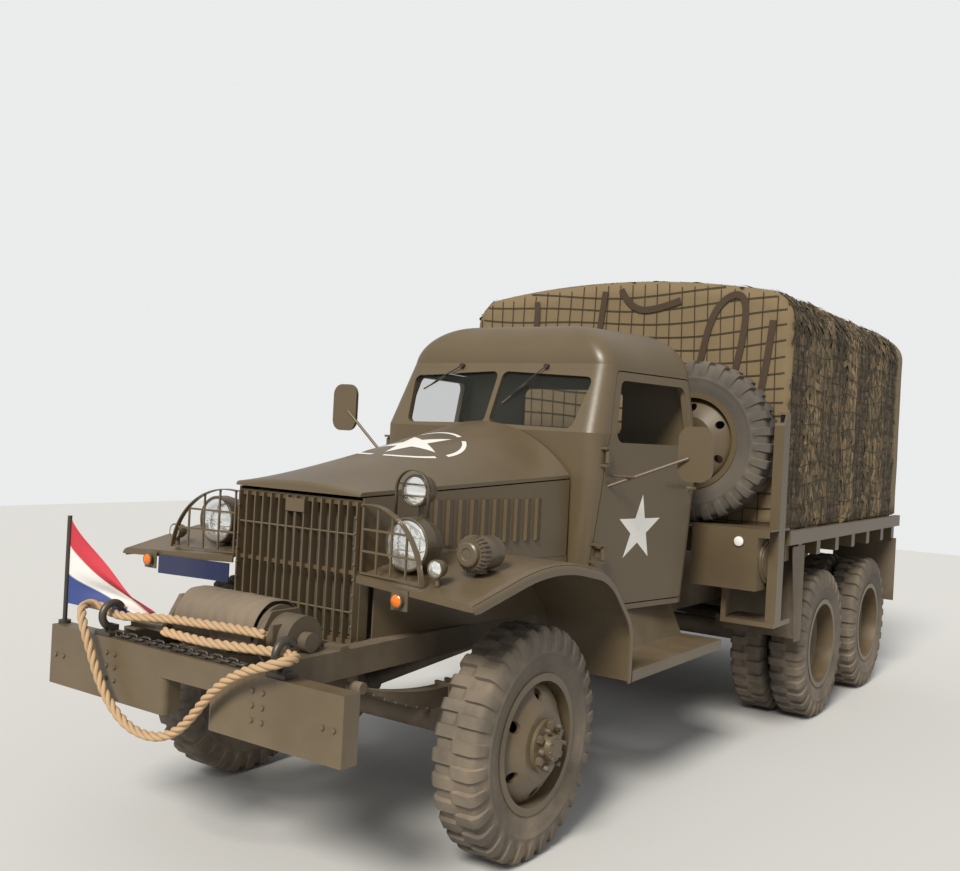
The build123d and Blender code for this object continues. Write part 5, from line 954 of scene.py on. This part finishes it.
def ringOf(x, count, radius, turn):
    # Places on a circle round the front axle: P(a) = (x, axle + r cos a, z + r sin a)
    return [(x, frontAxleY + radius * math.cos(a), hub["z"] + radius * math.sin(a))
            for a in circleAngles(count) + turn]


for word, side in (("left", 1), ("right", -1)):
    caps = ringOf(side * (hub["x"] + hub["cap"]), hub["capCount"], hub["capRing"], hub["capTurn"])
    studs = ringOf(side * (hub["x"] + hub["dish"]), hub["studCount"], hub["studRing"], 0.0)
    piece(f"wheel_front_{word}_bolts", *joined(discs(caps, (side, 0, 0), *hub["capHead"])
                                               + discs(studs, (side, 0, 0), *hub["studHead"])),
          materials["chassis_paint"], f"wheel_front_{word}", sharp=30, solid=True)
print("hub bolts made")

# Winch cover: canvas over the winch's arch, P(u, v) = arch(u) with creases along and across it
cover = {"y": frontAxleY - 0.790, "z": 0.892, "base": 0.8646, "radius": 0.126, "half": 0.214, "wall": 0.003,
         "broadCrease": 0.0022, "fineCrease": 0.0014, "inset": 0.0012, "clearance": 0.0005}
u, v = np.meshgrid(np.linspace(0, 1, 56), np.linspace(-1, 1, 60), indexing="ij")
side, arch = cover["z"] - cover["base"], math.pi * cover["radius"]
run = u * (2 * side + arch)
angle = np.clip((run - side) / cover["radius"], 0, math.pi)
crease = (cover["broadCrease"] * wavy(v * 3.2, u * 4.0)
          + cover["fineCrease"] * np.sin(26 * v + 5 * np.sin(7 * u)) - cover["inset"])
radius = cover["radius"] + crease
straight = np.maximum(side - run, 0) + np.maximum(run - side - arch, 0)
coverGrid = np.stack([v * cover["half"], cover["y"] - radius * np.cos(angle),
                      np.maximum(cover["z"] + radius * np.sin(angle) - straight, cover["base"] + cover["clearance"])],
                     -1)
coverFaces = gridFaces(56, 60)
winchCanvas = piece("winchCanvas", coverGrid, coverFaces, materials["cover_canvas"], slot="cover_canvas")
coverWall = winchCanvas.modifiers.new("wall", "SOLIDIFY")
coverWall.thickness = cover["wall"]
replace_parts(winchCanvas, "winch_cover")

# Bumper bolts: hexagon heads where the rails meet it and near its ends
bumper = {"y": -3.0, "railX": (0.375, 0.425), "railZ": (0.66, 0.71, 0.76), "endX": (0.70, 0.75), "endZ": 0.70,
          "head": (0.009, 0.007, 6)}
heads = []
for side in (1, -1):
    heads += [(side * x, bumper["y"], z) for x in bumper["railX"] for z in bumper["railZ"]]
    heads += [(side * x, bumper["y"], bumper["endZ"]) for x in bumper["endX"]]
piece("bumperBolts", *joined(discs(heads, (0, -1, 0), *bumper["head"])), materials["body_paint"], sharp=30,
      solid=True)
print("bumper bolts made")

# Floor and soft daylight
daylight = {"floorHalf": 14.0, "floorColour": (0.55, 0.55, 0.54, 1), "floorRoughness": 0.9,
            "sunEnergy": 4.0, "sunColour": (1.0, 0.95, 0.87), "sunSpread": 18, "sunDirection": (-0.15, 0.72, -0.62),
            "skyColour": (0.86, 0.87, 0.88, 1), "skyStrength": 0.62, "backdropColour": (0.83, 0.835, 0.84, 1)}
floorHalf = daylight["floorHalf"]
floor = bpy.data.meshes.new("floor")
floor.from_pydata([(-floorHalf, -floorHalf, 0), (floorHalf, -floorHalf, 0), (floorHalf, floorHalf, 0),
                   (-floorHalf, floorHalf, 0)], [], [(0, 1, 2, 3)])
paleFloor = bpy.data.materials.new("paleFloor")
paleFloor.use_nodes = True
floorSurface = paleFloor.node_tree.nodes["Principled BSDF"]
floorSurface.inputs["Base Color"].default_value = daylight["floorColour"]
floorSurface.inputs["Roughness"].default_value = daylight["floorRoughness"]
floor.materials.append(paleFloor)
floorObject = bpy.data.objects.new("floor", floor)
bpy.context.scene.collection.objects.link(floorObject)
sunLight = bpy.data.lights.new("daylight", "SUN")
sunLight.energy = daylight["sunEnergy"]
sunLight.color = daylight["sunColour"]
sunLight.angle = math.radians(daylight["sunSpread"])
sun = bpy.data.objects.new("daylight", sunLight)
sun.rotation_euler = Vector(daylight["sunDirection"]).to_track_quat("-Z", "Y").to_euler()
bpy.context.scene.collection.objects.link(sun)
world = bpy.data.worlds.new("overcast")
world.use_nodes = True
sky = world.node_tree.nodes["Background"]
sky.inputs["Color"].default_value = daylight["skyColour"]
sky.inputs["Strength"].default_value = daylight["skyStrength"]
# The camera sees a pale backdrop, which adds no light
backdrop = world.node_tree.nodes.new("ShaderNodeBackground")
backdrop.inputs["Color"].default_value = daylight["backdropColour"]
rays = world.node_tree.nodes.new("ShaderNodeLightPath")
either = world.node_tree.nodes.new("ShaderNodeMixShader")
link(world.node_tree, rays.outputs["Is Camera Ray"], either.inputs[0])
link(world.node_tree, sky.outputs[0], either.inputs[1])
link(world.node_tree, backdrop.outputs[0], either.inputs[2])
link(world.node_tree, either.outputs[0], world.node_tree.nodes["World Output"].inputs["Surface"])
bpy.context.scene.world = world
bpy.context.scene.view_settings.view_transform = "Standard"
print("floor and daylight set")
